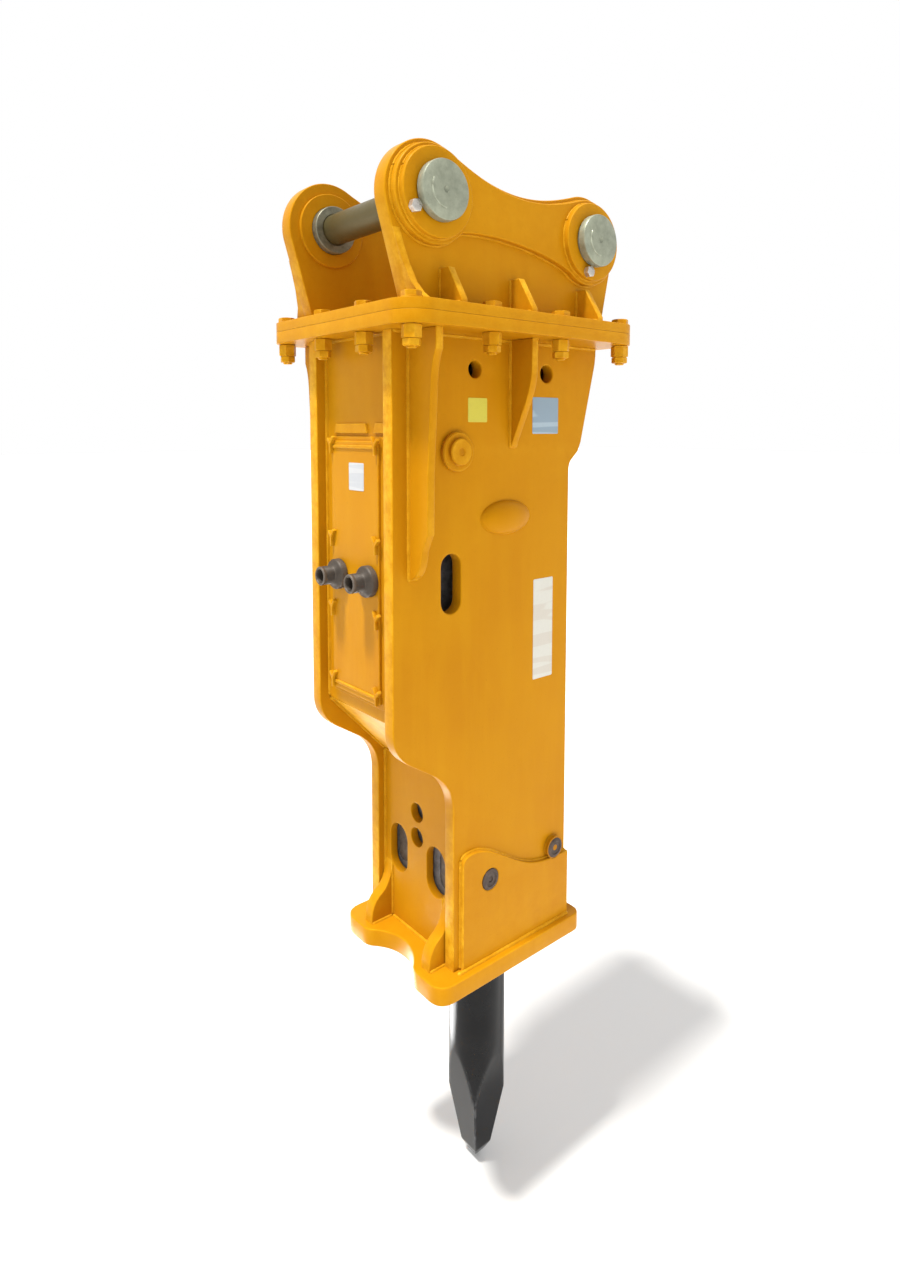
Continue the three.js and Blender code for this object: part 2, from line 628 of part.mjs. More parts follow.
function makePowerCell() {
  const [headJoint, frontJoint] = CELL_JOINT_Z;
  const sealR = PISTON.rodR + 0.8;
  const pad = DAMPER_PAD_HALF;
  add('top_damper', box(-pad, pad, -pad, pad, BACK_TOP_Z + GAP, HOUSING_FLANGE_THICK), rubber);

  const back = cellBlock(headJoint + GAP, BACK_TOP_Z)
    .subtract(rodZ(0, 0, sealR, headJoint - 5, -249, FINE))
    .subtract(rodZ(0, 0, 56, -250, -105, FINE))
    .subtract(rodX(0, -180, 8.4, -CELL_HALF - 5, -50, SMALL));
  add('back_head', drillTies(back, headJoint - 5, BACK_TOP_Z + 5), iron);

  const valve = rodX(0, -180, 8, -CELL_HALF - 5, -70, SMALL)
    .add(rodX(0, -180, 15, -CELL_HALF - 24, -CELL_HALF - GAP, 6));
  add('gas_charging_valve', valve, plated);

  let cylinder = cellBlock(frontJoint + GAP, headJoint)
    .subtract(rodZ(0, 0, PISTON.landR + 0.5, -640, headJoint + 5, FINE))
    .subtract(rodZ(0, 0, sealR, frontJoint - 5, -639, FINE))
    .subtract(rodZ(0, 0, CHISEL_R + 3, frontJoint - 5, CHISEL_ROOM_Z, FINE));
  for (const z of [-620, -420]) cylinder = cylinder.subtract(rodX(40, z, 7, -CELL_HALF - 5, -20, 8));
  add('cylinder', drillTies(cylinder, frontJoint - 5, headJoint + 5), iron);

  const { rodR, landR, bottom, top, land0, land1 } = PISTON;
  add('piston', turned([[0, bottom], [rodR - 4, bottom], [rodR, bottom + 6], [rodR, land0], [landR, land0],
    [landR, -552], [landR - 6, -548], [landR - 6, -518], [landR, -514], [landR, land1], [rodR, land1],
    [rodR, top - 6], [rodR - 6, top], [0, top]]), plated);

  for (const [index, [sx, sy]] of CORNERS.entries()) {
    const bolt = rodZ(sx * TIE_AT, sy * TIE_AT, TIE_R, TIE_END_Z, -44, SMALL)
      .add(rodZ(sx * TIE_AT, sy * TIE_AT, 21, BACK_TOP_Z + GAP, -52, 6));
    add(`through_bolt_${index + 1}`, bolt, steel);
  }
}

function makeFrontHead() {
  const top = CELL_JOINT_Z[1];
  const pinY = NOTCH_HALF + GAP + ROD_PIN.wide / 2;
  let head = box(HEAD_X[0], HEAD_X[1], -HEAD_HALF, HEAD_HALF, HEAD_BOTTOM_Z, top)
    .subtract(rodZ(0, 0, CHISEL_R + 3, HEAD_BOTTOM_Z - 5, top + 5, FINE))
    .subtract(rodZ(0, 0, BUSH_LOW.outer + 0.4, HEAD_BOTTOM_Z - 5, BUSH_LOW.z1 + GAP, FINE))
    .subtract(rodZ(0, 0, BUSH_HIGH.outer + 0.4, BUSH_HIGH.z0 - GAP, top + 5, FINE));
  head = drillTies(head, TIE_END_Z - 5, top + 5);
  for (const side of [-1, 1]) {
    const hole = stadium(side * pinY, ROD_PIN.z, ROD_PIN.wide + 0.8, ROD_PIN.high + 0.8);
    head = head.subtract(slabX(hole, HEAD_X[0] - 5, HEAD_X[1] + 5, 5));
  }
  for (const x of STOP_PIN_X) {
    head = head.subtract(rodY(x, ROD_PIN.z, STOP_PIN_R + 0.5, -HEAD_HALF - 5, HEAD_HALF + 5, SMALL));
  }
  add('front_head', head, iron);

  for (const [word, size] of [['lower', BUSH_LOW], ['upper', BUSH_HIGH]]) {
    const bush = rodZ(0, 0, size.outer, size.z0, size.z1, FINE)
      .subtract(rodZ(0, 0, size.inner, size.z0 - 5, size.z1 + 5, FINE));
    add(`tool_bushing_${word}`, bush, steel);
  }

  for (const [word, side] of SIDES) {
    let pin = slabX(stadium(side * pinY, ROD_PIN.z, ROD_PIN.wide, ROD_PIN.high), HEAD_X[0] + 2,
      HEAD_X[1] - 2, 5);
    for (const x of STOP_PIN_X) pin = pin.subtract(rodY(x, ROD_PIN.z, STOP_PIN_R + 0.5, -200, 200, SMALL));
    add(`rod_pin_${word}`, pin, steel);
  }

  for (const [word, x] of [['front', STOP_PIN_X[0]], ['rear', STOP_PIN_X[1]]]) {
    const end = DOUBLER_OUTER + 3;
    const pin = rodY(x, ROD_PIN.z, STOP_PIN_R, -end + 5, end - 5, SMALL)
      .add(rodY(x, ROD_PIN.z, STOP_HEAD_R, -end, -HEAD_HALF - 1, ROUND))
      .add(rodY(x, ROD_PIN.z, STOP_HEAD_R, HEAD_HALF + 1, end, ROUND));
    add(`stop_pin_${word}`, pin, rubber);
  }
}

// The chisel's point: a stack of squares, ever closer together toward the rounded tip, that the round
// bar is trimmed to.
function pointSquares() {
  const steps = 10;
  const sections = [];
  for (let i = 0; i <= steps; i += 1) {
    const t = 1 - (1 - i / steps) ** 2;
    const rounding = Math.min(1, Math.sqrt((1 - t) / POINT_ROUND));
    const half = CHISEL_R * (1 - POINT_TAPER * t) * rounding;
    sections.push([Math.max(1, half), POINT_START_Z + t * (TIP_Z - POINT_START_Z)]);
  }
  const vertices = [];
  const faces = [];
  for (const [half, z] of sections) {
    for (const [sx, sy] of CORNERS) vertices.push(sx * half, sy * half, z);
  }
  for (let i = 0; i < steps; i += 1) {
    for (let k = 0; k < 4; k += 1) {
      const a = 4 * i + k;
      const b = 4 * i + ((k + 1) % 4);
      faces.push(a, a + 4, b, b, a + 4, b + 4);
    }
  }
  const last = 4 * steps;
  faces.push(0, 1, 2, 0, 2, 3, last, last + 2, last + 1, last, last + 3, last + 2);
  const geometry = new THREE.BufferGeometry();
  geometry.setAttribute('position', new THREE.BufferAttribute(new Float32Array(vertices), 3));
  geometry.setIndex(faces);
  return solid(geometry);
}

function makeChisel() {
  const bar = turned([[0, POINT_START_Z], [CHISEL_R, POINT_START_Z], [CHISEL_R, CHISEL_TOP_Z - 8],
    [CHISEL_R - 8, CHISEL_TOP_Z], [0, CHISEL_TOP_Z]]);
  const point = rodZ(0, 0, CHISEL_R, TIP_Z, POINT_START_Z + 1, FINE)
    .intersect(pointSquares());
  let chisel = bar.add(point);
  const notchTop = ROD_PIN.z + ROD_PIN.high / 2 + GAP;
  const notchBottom = ROD_PIN.z - ROD_PIN.high / 2 - CHISEL_TRAVEL - 5;
  for (const side of [-1, 1]) {
    const y0 = Math.min(side * NOTCH_HALF, side * 100);
    chisel = chisel.subtract(box(-100, 100, y0, y0 + 42, notchBottom, notchTop));
  }
  add('chisel', chisel, toolSteel);
}

function makeControlValve() {
  const face = -CELL_HALF - GAP;
  let block = box(VALVE.x0, face, -VALVE.halfWide, VALVE.halfWide, VALVE.z0, VALVE.z1)
    .subtract(rodZ(SPOOL.x, 0, SPOOL.r + 0.5, VALVE.z0 - 5, VALVE.z1 + 5));
  for (const side of [-1, 1]) {
    block = block.subtract(rodX(side * PORT.y, PORT.z, PORT.pipeR + 0.5, VALVE.x0 - 5, VALVE.x0 + 18));
  }
  add('control_valve_block', block, iron);

  const { r, z0, z1 } = SPOOL;
  const spool = turned([[0, z0], [r, z0], [r, z0 + 25], [r - 6, z0 + 28], [r - 6, z0 + 52], [r, z0 + 55],
    [r, z0 + 80], [r - 6, z0 + 83], [r - 6, z0 + 102], [r, z0 + 105], [r, z1], [0, z1]], ROUND);
  add('valve_spool', spool.add(rodZ(0, 0, 5, z0 - 8, z0 + 5, SMALL)).translate([SPOOL.x, 0, 0]), plated);

  const body = rodX(0, ACCUMULATOR.z, ACCUMULATOR.r, VALVE.x0 + 20, face, FINE)
    .add(rodX(0, ACCUMULATOR.z, ACCUMULATOR.r - 12, VALVE.x0 + 8, VALVE.x0 + 21, FINE))
    .add(rodX(0, ACCUMULATOR.z, 14, VALVE.x0, VALVE.x0 + 9, 6));
  add('accumulator', body, iron);
}

makeFlangeJoint();
makeBracket();
makePins();
makeSidePlates();
makeWalls();
makeBottomPlate();
makeDoublers();
makeSideDampers();
makePorts();
makePowerCell();
makeFrontHead();
makeChisel();
makeControlValve();

export default hammer;
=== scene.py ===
# Looks of the hydraulic breaker hammer: finer pieces in place of its solids, their materials and lights.
# Lengths in the shape code are millimetres in the part's building frame: x = 0 and y = 0 are the tool
# axis, z = 0 is the underside of the housing flange. place() turns them into the row frame in metres.
import math
import random

import bmesh
import bpy
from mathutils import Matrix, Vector, noise
from mathutils.geometry import tessellate_polygon


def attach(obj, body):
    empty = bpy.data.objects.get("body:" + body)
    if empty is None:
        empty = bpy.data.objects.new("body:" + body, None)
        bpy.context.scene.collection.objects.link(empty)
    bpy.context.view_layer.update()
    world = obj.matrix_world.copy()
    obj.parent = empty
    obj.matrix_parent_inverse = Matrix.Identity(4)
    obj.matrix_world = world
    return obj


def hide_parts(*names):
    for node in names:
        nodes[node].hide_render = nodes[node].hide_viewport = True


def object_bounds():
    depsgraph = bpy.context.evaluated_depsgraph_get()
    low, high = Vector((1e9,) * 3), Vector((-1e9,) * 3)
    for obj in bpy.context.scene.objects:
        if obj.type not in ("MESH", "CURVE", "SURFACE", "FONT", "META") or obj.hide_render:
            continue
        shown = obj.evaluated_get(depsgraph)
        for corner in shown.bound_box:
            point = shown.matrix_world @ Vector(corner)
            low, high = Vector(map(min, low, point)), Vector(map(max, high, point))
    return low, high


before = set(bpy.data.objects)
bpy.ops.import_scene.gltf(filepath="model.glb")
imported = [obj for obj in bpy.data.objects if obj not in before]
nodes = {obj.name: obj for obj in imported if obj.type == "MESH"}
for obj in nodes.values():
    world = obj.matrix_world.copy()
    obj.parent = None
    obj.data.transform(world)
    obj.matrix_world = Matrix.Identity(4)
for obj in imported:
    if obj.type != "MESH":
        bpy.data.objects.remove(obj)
cad_box = [list(corner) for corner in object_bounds()]

# ---------------------------------------------------------------- sizes, as in the part
STICK = (-303, 250)
LINK = (140, 224)
SIDES = (("near", -1), ("far", 1))
GAP = 0.3
EAR = (160, 195)                       # inner and outer face
EAR_R = 104                            # round each pin
EAR_FOOT = (-350, 206)
CHEEK_R = 93
CHEEK_OUTER = 212
BOSS_OUTER = 225
GUSSET_X = (-270, -80, 127)
GUSSET_HALF = 8
FRONT_GUSSET = {"reach": 238, "top": 180, "lean": 0.3, "thick": 16}
BUSH_HOLE_R = 51.3
INNER_BOSS = (80, 153)                 # radius, face
OUTER_BOSS_R = 84
LOCK_REACH = 71                        # lock bolts from their pin's axis
LOCK_HOLE_R = 8.5
FLANGE = (-410, 261, 268, 61)          # x0, x1, half width, corner radius
BOLT_EDGE = 34
BOLT_HOLE_R = 11.8
FLANGE_TOPS = (25, 25.3, 46)           # lower plate's top, upper plate's underside and top
FLANGE_BEVEL = 1.0
HALF_WIDE = 156
PLATE_INNER = 126
FRONT_WALL = (-340, -320)
LOW_WALL = (-188, -168)
REAR_WALL = (126, 142)
STEP_PLATE_Z = (-800, -960)            # where the front wall ends and the lower front wall starts
FOOT = 46.3
BOTTOM_PLATE = (-1413, -1371)
BOTTOM_TOP = BOTTOM_PLATE[1]
TOOL_HOLE_R = 95
DOUBLER_OUTER = 168
ROD_PIN_Z = -1190
STOP_PIN_X = (-110, 100)
STOP_PIN_HOLE_R = 24.2
STOP_PIN_FACES = (116, 171)            # inner and outer end of each rubber plug
DAMPER = (-203, -238)
DAMPER_HOLE_R = 24.5
CLIPS = [(y, z) for y in (84, -84) for z in (-222, -425, -580, -740)]
PORT_Y, PORT_Z = 57, -505


def place(x, y, z):
    return Vector(((x - STICK[0]) / 1000, y / 1000, (z - STICK[1]) / 1000))


# ---------------------------------------------------------------- outlines
def arc(centre, r, a0, a1, n):
    return [(centre[0] + r * math.cos(math.radians(a0 + (a1 - a0) * i / n)),
             centre[1] + r * math.sin(math.radians(a0 + (a1 - a0) * i / n))) for i in range(n + 1)]


def circle(centre, r, n):
    return arc(centre, r, 0, 360, n)[:-1]


def bezier(p, q, r, s, n=28):
    out = []
    for i in range(1, n + 1):
        t = i / n
        u = 1 - t
        out.append(tuple(u ** 3 * p[k] + 3 * u * u * t * q[k] + 3 * u * t * t * r[k] + t ** 3 * s[k]
                         for k in (0, 1)))
    return out


def quad(p, q, s, n=12):
    return [tuple((1 - i / n) ** 2 * p[k] + 2 * (1 - i / n) * i / n * q[k] + (i / n) ** 2 * s[k]
                  for k in (0, 1)) for i in range(1, n + 1)]


def stadium(a, b, wide, high, n=14):
    r = wide / 2
    return arc((a, b + high / 2 - r), r, 0, 180, n) + arc((a, b - high / 2 + r), r, 180, 360, n)


def rounded(x0, x1, y0, y1, r, n):
    return (arc((x1 - r, y0 + r), r, -90, 0, n) + arc((x1 - r, y1 - r), r, 0, 90, n)
            + arc((x0 + r, y1 - r), r, 90, 180, n) + arc((x0 + r, y0 + r), r, 180, 270, n))


def tidy(loop):
    out = []
    for p in loop:
        if not out or math.dist(p, out[-1]) > 0.05:
            out.append(p)
    if math.dist(out[0], out[-1]) <= 0.05:
        out.pop()
    return out


def area(loop):
    return sum(a[0] * b[1] - b[0] * a[1] for a, b in zip(loop, loop[1:] + loop[:1])) / 2


def inset(loop, d):
    """The loop with every corner moved d to the left of the way it runs."""
    out = []
    count = len(loop)
    for i, p in enumerate(loop):
        a = Vector((p[0] - loop[i - 1][0], p[1] - loop[i - 1][1])).normalized()
        nxt = loop[(i + 1) % count]
        b = Vector((nxt[0] - p[0], nxt[1] - p[1])).normalized()
        m = Vector((-a.y - b.y, a.x + b.x))
        out.append((p[0] + d * m.x / max(0.6, 1 + a.dot(b)), p[1] + d * m.y / max(0.6, 1 + a.dot(b))))
    return out


# ---------------------------------------------------------------- shells of one piece
HEX_SIDES = 48
BEAD_SIDES = 8
BEAD_STEP = 4.0


class Piece:
    def __init__(self):
        self.verts, self.faces, self.flat = [], [], set()

    def loft(self, rings, wrap=False, caps=True):
        base, n = len(self.verts), len(rings[0])
        for ring in rings:
            self.verts += ring
        pairs = list(range(len(rings) - 1)) + ([len(rings) - 1] if wrap else [])
        for k in pairs:
            a, b = base + k * n, base + ((k + 1) % len(rings)) * n
            for i in range(n):
                j = (i + 1) % n
                self.faces.append((a + i, a + j, b + j, b + i))
        if caps and not wrap:
            self.faces.append(tuple(range(base, base + n)))
            self.faces.append(tuple(range(base + (len(rings) - 1) * n, base + len(rings) * n)))
        return self

    def plate(self, axis, loops, t0, t1, bevel, steps=3):
        """A plate with rounded edges: loops are its outline and holes, t0 to t1 its thickness."""
        def lift(p, t):
            return {"X": (t, p[0], p[1]), "Y": (p[0], t, p[1]), "Z": (p[0], p[1], t)}[axis]
        loops = [tidy(loop) for loop in loops]
        loops = [loop if (area(loop) > 0) == (k == 0) else loop[::-1] for k, loop in enumerate(loops)]
        t0, t1 = min(t0, t1), max(t0, t1)
        levels = []
        for i in range(steps + 1):
            a = math.pi / 2 * i / steps
            levels.append((bevel * (1 - math.sin(a)), t0 + bevel * (1 - math.cos(a))))
        levels += [(d, t0 + t1 - t) for d, t in reversed(levels)]
        caps = {0: [], len(levels) - 1: []}
        for loop in loops:
            rings = [[lift(p, t) for p in inset(loop, d)] for d, t in levels]
            start = len(self.verts)
            self.loft(rings, caps=False)
            for k in caps:
                caps[k].append((start + k * len(loop), inset(loop, levels[k][0])))
        for parts in caps.values():
            index = [first + i for first, loop in parts for i in range(len(loop))]
            flat = [[Vector((p[0], p[1], 0)) for p in loop] for _, loop in parts]
            for tri in tessellate_polygon(flat):
                self.flat.add(len(self.faces))
                self.faces.append(tuple(index[i] for i in tri))
        return self

    def turned(self, axis, centre, profile, sides, wrap=False):
        """A turned shape: profile is (radius, distance along axis), centre the two other coordinates."""
        rings = []
        for r, t in profile:
            ring = []
            for i in range(sides):
                a = 2 * math.pi * i / sides
                u, v = centre[0] + r * math.cos(a), centre[1] + r * math.sin(a)
                ring.append({"X": (t, u, v), "Y": (u, t, v), "Z": (u, v, t)}[axis])
            rings.append(ring)
        return self.loft(rings, wrap=wrap)

    def hexagon(self, axis, centre, r, t0, t1, turn):
        """A hexagon bar whose ends are chamfered by a cone; r is to its corners."""
        flat = r * math.cos(math.pi / 6)
        face = flat * 0.95

        def ring(t, grow, chamfer):
            out = []
            for i in range(HEX_SIDES):
                a = 2 * math.pi * i / HEX_SIDES
                reach = flat / math.cos((a % (math.pi / 3)) - math.pi / 6)
                reach = min(reach, grow) if grow else reach
                h = t + (chamfer * (reach - face) * 0.5 if chamfer else 0)
                b = a + math.radians(turn)
                u, v = centre[0] + reach * math.cos(b), centre[1] + reach * math.sin(b)
                out.append({"X": (h, u, v), "Y": (u, h, v), "Z": (u, v, h)}[axis])
            return out
        low, high = min(t0, t1), max(t0, t1)
        return self.loft([ring(low, face, 0), ring(low, 0, 1), ring(high, 0, -1), ring(high, face, 0)])

    def bead(self, points, r, seed):
        """A weld bead along a line of points, with the ripples a welder leaves."""
        line = [Vector(points[0])]
        for a, b in zip(points, points[1:]):
            a, b = Vector(a), Vector(b)
            n = max(1, round((b - a).length / BEAD_STEP))
            line += [a.lerp(b, i / n) for i in range(1, n + 1)]
        rings = []
        for i, p in enumerate(line):
            way = (line[min(i + 1, len(line) - 1)] - line[max(i - 1, 0)]).normalized()
            side = way.orthogonal().normalized() if abs(way.z) > 0.9 else way.cross(Vector((0, 0, 1)))
            side.normalize()
            up = way.cross(side)
            size = r * (1 + 0.13 * noise.noise(p / 9 + Vector((seed, 0, 0))) + (0.07 if i % 2 else -0.07))
            if i in (0, len(line) - 1):
                size *= 0.55
            wander = 0.5 * noise.noise(p / 30 + Vector((0, seed, 0)))
            turns = [2 * math.pi * k / BEAD_SIDES for k in range(BEAD_SIDES)]
            rings.append([tuple(p + side * (size * math.cos(a) + wander) + up * size * math.sin(a))
                          for a in turns])
        return self.loft(rings)

    def build(self, name, material, slot, node=None, body="housing", sharp=34, pivot=None):
        origin = place(*pivot) if pivot else Vector((0, 0, 0))
        mesh = bpy.data.meshes.new(name)
        mesh.from_pydata([place(*v) - origin for v in self.verts], [], self.faces)
        bm = bmesh.new()
        bm.from_mesh(mesh)
        bm.faces.ensure_lookup_table()
        capped = {bm.faces[i] for i in self.flat}
        rim = {e for f in capped for e in f.edges if any(g not in capped for g in e.link_faces)}
        bmesh.ops.remove_doubles(bm, verts=bm.verts, dist=1e-6)
        bmesh.ops.recalc_face_normals(bm, faces=bm.faces)
        for f in bm.faces:
            f.smooth = True
        for e in rim:
            if e.is_valid:
                e.smooth = False
        for e in bm.edges:
            if len(e.link_faces) == 2 and e.calc_face_angle(0) > math.radians(sharp):
                e.smooth = False
        bm.to_mesh(mesh)
        bm.free()
        mesh.materials.append(material)
        piece = bpy.data.objects.new(name, mesh)
        piece.location = origin
        bpy.context.scene.collection.objects.link(piece)
        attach(piece, body)
        if node:
            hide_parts(node)
        return piece


# ---------------------------------------------------------------- materials
class Nodes:
    def __init__(self, name):
        self.material = bpy.data.materials.new(name)
        self.material.use_nodes = True
        self.tree = self.material.node_tree
        self.shader = self.tree.nodes["Principled BSDF"]
        self.where = self.add("ShaderNodeTexCoord").outputs["Object"]

    def add(self, kind, **values):
        node = self.tree.nodes.new(kind)
        for key, value in values.items():
            setattr(node, key, value)
        return node

    def link(self, a, b):
        self.tree.links.new(a, b)

    def scaled(self, x, y, z):
        node = self.add("ShaderNodeMapping")
        node.inputs["Scale"].default_value = (x, y, z)
        self.link(self.where, node.inputs["Vector"])
        return node.outputs["Vector"]

    def noise(self, scale, detail, rough=0.55, where=None):
        node = self.add("ShaderNodeTexNoise")
        node.inputs["Scale"].default_value = scale
        node.inputs["Detail"].default_value = detail
        node.inputs["Roughness"].default_value = rough
        self.link(where or self.where, node.inputs["Vector"])
        return node.outputs["Fac"]

    def rescale(self, value, low, high, out_low, out_high):
        node = self.add("ShaderNodeMapRange")
        for key, number in zip(("From Min", "From Max", "To Min", "To Max"), (low, high, out_low, out_high)):
            node.inputs[key].default_value = number
        self.link(value, node.inputs["Value"])
        return node.outputs["Result"]

    def math(self, operation, a, b):
        node = self.add("ShaderNodeMath", operation=operation)
        for socket, value in zip(node.inputs, (a, b)):
            if isinstance(value, (int, float)):
                socket.default_value = value
            else:
                self.link(value, socket)
        return node.outputs[0]

    def mix(self, factor, a, b):
        node = self.add("ShaderNodeMix", data_type="RGBA")
        for socket, value in ((node.inputs[0], factor), (node.inputs[6], a), (node.inputs[7], b)):
            if isinstance(value, (int, float)):
                socket.default_value = value
            elif isinstance(value, tuple):
                socket.default_value = (*value, 1)
            else:
                self.link(value, socket)
        return node.outputs[2]

    def pointy(self, low, high):
        return self.rescale(self.add("ShaderNodeNewGeometry").outputs["Pointiness"], low, high, 0, 1)

    def bump(self, height, strength, distance, before=None):
        node = self.add("ShaderNodeBump")
        node.inputs["Strength"].default_value = strength
        node.inputs["Distance"].default_value = distance
        self.link(height, node.inputs["Height"])
        if before:
            self.link(before, node.inputs["Normal"])
        return node.outputs["Normal"]

    def finish(self, colour, rough, normal=None, metallic=0.0, **fixed):
        self.link(colour, self.shader.inputs["Base Color"])
        self.link(rough, self.shader.inputs["Roughness"])
        self.shader.inputs["Metallic"].default_value = metallic
        if normal:
            self.link(normal, self.shader.inputs["Normal"])
        for key, value in fixed.items():
            self.shader.inputs[key.replace("_", " ")].default_value = value
        return self.material


def paint_material(name, base=(0.455, 0.198, 0.0034)):
    m = Nodes(name)
    deep = tuple(c * k for c, k in zip(base, (0.90, 0.82, 0.8)))
    light = tuple(min(1, c * k) for c, k in zip(base, (1.07, 1.16, 1.5)))
    cloud = m.rescale(m.noise(2.6, 3), 0.3, 0.7, 0, 1)
    colour = m.mix(cloud, deep, base)
    run = m.rescale(m.noise(1, 5, 0.6, m.scaled(26, 26, 3.2)), 0.45, 0.8, 0, 0.4)
    colour = m.mix(run, colour, light)
    speck = m.rescale(m.noise(210, 2, 0.5), 0.66, 0.74, 0, 0.35)
    colour = m.mix(speck, colour, tuple(c * 0.7 for c in base))
    # convex edges lighter and yellower: partly paint rubbed thin, partly a painted highlight along the edges
    edge = m.math("MULTIPLY", m.pointy(0.515, 0.60), m.rescale(m.noise(38, 5, 0.7), 0.38, 0.62, 0.15, 0.75))
    colour = m.mix(edge, colour, (0.66, 0.36, 0.02))
    # hollows and inside corners darker and browner: painted shade
    painted_crevice_shade = m.math("MULTIPLY", m.pointy(0.49, 0.44), m.rescale(m.noise(18, 5, 0.7), 0.35, 0.7, 0.2, 0.7))
    colour = m.mix(painted_crevice_shade, colour, (0.24, 0.08, 0.006))
    rough = m.rescale(m.noise(9, 6, 0.65), 0.3, 0.7, 0.30, 0.44)
    peel = m.bump(m.noise(330, 2, 0.4), 0.16, 0.0004)
    wave = m.bump(m.noise(11, 2, 0.5), 0.35, 0.0015, peel)
    return m.finish(colour, rough, wave, Specular_IOR_Level=0.11, Specular_Tint=(1.0, 0.62, 0.10, 1))


def metal_material(name, dark, light, metallic, rough, turned=None, stain=(0.16, 0.12, 0.08), amount=0.35,
                   band=None):
    """Machined steel: cloudy colour, fine tool marks round the turning axis, stains and worn edges.
    band darkens the middle of its length and turns it browner, a painted shade and painted reflection of the
    yellow paint round the bar, up to the first distance and fading out by the second."""
    m = Nodes(name)
    colour = m.mix(m.rescale(m.noise(22, 5, 0.6), 0.3, 0.7, 0, 1), dark, light)
    spots = m.rescale(m.noise(75, 6, 0.75), 0.54, 0.72, 0, amount)
    colour = m.mix(spots, colour, stain)
    worn = m.math("MULTIPLY", m.pointy(0.52, 0.60), m.rescale(m.noise(60, 4, 0.7), 0.35, 0.65, 0.2, 0.9))
    colour = m.mix(worn, colour, tuple(min(1, c * 1.9 + 0.04) for c in light))
    scratch = m.noise(1, 3, 0.5, m.scaled(900, 60, 60))
    roughness = m.rescale(m.noise(45, 6, 0.7), 0.3, 0.7, rough - 0.09, rough + 0.1)
    normal = m.bump(scratch, 0.12, 0.0002)
    if turned:
        wave = m.add("ShaderNodeTexWave", wave_type="RINGS", rings_direction=turned)
        for key, value in (("Scale", 170), ("Distortion", 0.6), ("Detail", 2), ("Detail Scale", 1.5)):
            wave.inputs[key].default_value = value
        m.link(m.where, wave.inputs["Vector"])
        normal = m.bump(wave.outputs["Fac"], 0.16, 0.00025, normal)
    # band: painted shade and a painted reflection of the yellow paint, darker and browner in the middle of
    # the length
    if band:
        split = m.add("ShaderNodeSeparateXYZ")
        m.link(m.where, split.inputs[0])
        inside = m.rescale(m.math("ABSOLUTE", split.outputs["Y"], 0), *band, 1, 0)
        colour = m.mix(inside, colour, tuple(0.5 * c * k for c, k in zip(dark, (1.25, 0.9, 0.45))))
    return m.finish(colour, roughness, normal, metallic)


def tool_material():
    m = Nodes("tool_black")
    cloud = m.rescale(m.noise(14, 5, 0.6), 0.3, 0.7, 0, 1)
    colour = m.mix(cloud, (0.003, 0.003, 0.0035), (0.008, 0.008, 0.009))
    worn = m.math("MULTIPLY", m.pointy(0.515, 0.58), m.rescale(m.noise(55, 5, 0.7), 0.4, 0.6, 0, 0.7))
    colour = m.mix(worn, colour, (0.16, 0.16, 0.165))
    rough = m.rescale(m.noise(1, 5, 0.6, m.scaled(60, 60, 7)), 0.3, 0.7, 0.08, 0.17)
    normal = m.bump(m.noise(1, 3, 0.5, m.scaled(420, 420, 12)), 0.05, 0.0002)
    return m.finish(colour, rough, normal, 0.0, Specular_IOR_Level=0.16)


def rubber_material():
    m = Nodes("rubber_black")
    cloud = m.rescale(m.noise(90, 5, 0.6), 0.3, 0.7, 0, 1)
    colour = m.mix(cloud, (0.030, 0.018, 0.012), (0.070, 0.045, 0.034))
    rough = m.rescale(m.noise(120, 3), 0.3, 0.7, 0.62, 0.82)
    return m.finish(colour, rough, m.bump(m.noise(700, 2), 0.3, 0.0003))


def label_material(name, paper, ink):
    """A blank printed sticker: faint bands only, no marks."""
    m = Nodes(name)
    band = m.rescale(m.noise(1, 0, 0.5, m.scaled(4, 4, 62)), 0.52, 0.56, 0, 0.5)
    colour = m.mix(band, paper, ink)
    colour = m.mix(m.rescale(m.noise(160, 4, 0.6), 0.5, 0.8, 0, 0.25), colour, tuple(c * 0.7 for c in paper))
    rough = m.rescale(m.noise(30, 3), 0.3, 0.7, 0.34, 0.5)
    return m.finish(colour, rough, m.bump(m.noise(45, 2), 0.1, 0.0004))


paint = paint_material("paint_yellow")
# pin_steel's last pair paints shade and a yellow reflection on the pin bar between the bracket ears
pin_steel = metal_material("pin_steel", (0.165, 0.18, 0.13), (0.24, 0.255, 0.19), 0.5, 0.42, "Y",
                           (0.10, 0.10, 0.065), 0.4, (0.15, 0.2))
bush_steel = metal_material("bush_steel", (0.085, 0.082, 0.052), (0.15, 0.145, 0.10), 0.5, 0.45, "Y",
                            (0.05, 0.04, 0.02))
fitting_steel = metal_material("fitting_steel", (0.030, 0.022, 0.015), (0.062, 0.047, 0.034), 0.3, 0.52, "X",
                               (0.05, 0.03, 0.018), 0.5)
bright_steel = metal_material("bright_steel", (0.30, 0.28, 0.25), (0.46, 0.44, 0.41), 0.8, 0.32, None,
                              (0.2, 0.15, 0.12), 0.3)
cell_iron = metal_material("cell_iron", (0.055, 0.055, 0.06), (0.10, 0.10, 0.105), 0.5, 0.5, None,
                           (0.06, 0.04, 0.03), 0.4)
tool_black = tool_material()
rubber = rubber_material()
label_white = label_material("label_white", (0.46, 0.47, 0.48), (0.34, 0.36, 0.40))
label_yellow = label_material("label_yellow", (0.48, 0.42, 0.03), (0.36, 0.30, 0.03))
label_blue = label_material("label_blue", (0.28, 0.36, 0.42), (0.10, 0.16, 0.22))
label_pale = label_material("label_pale", (0.50, 0.49, 0.44), (0.42, 0.36, 0.30))

YELLOW, PLATED, BARE = "yellow_paint", "plated_steel", "bare_steel"
RUBBER, TOOL = "black_rubber", "tool_steel"

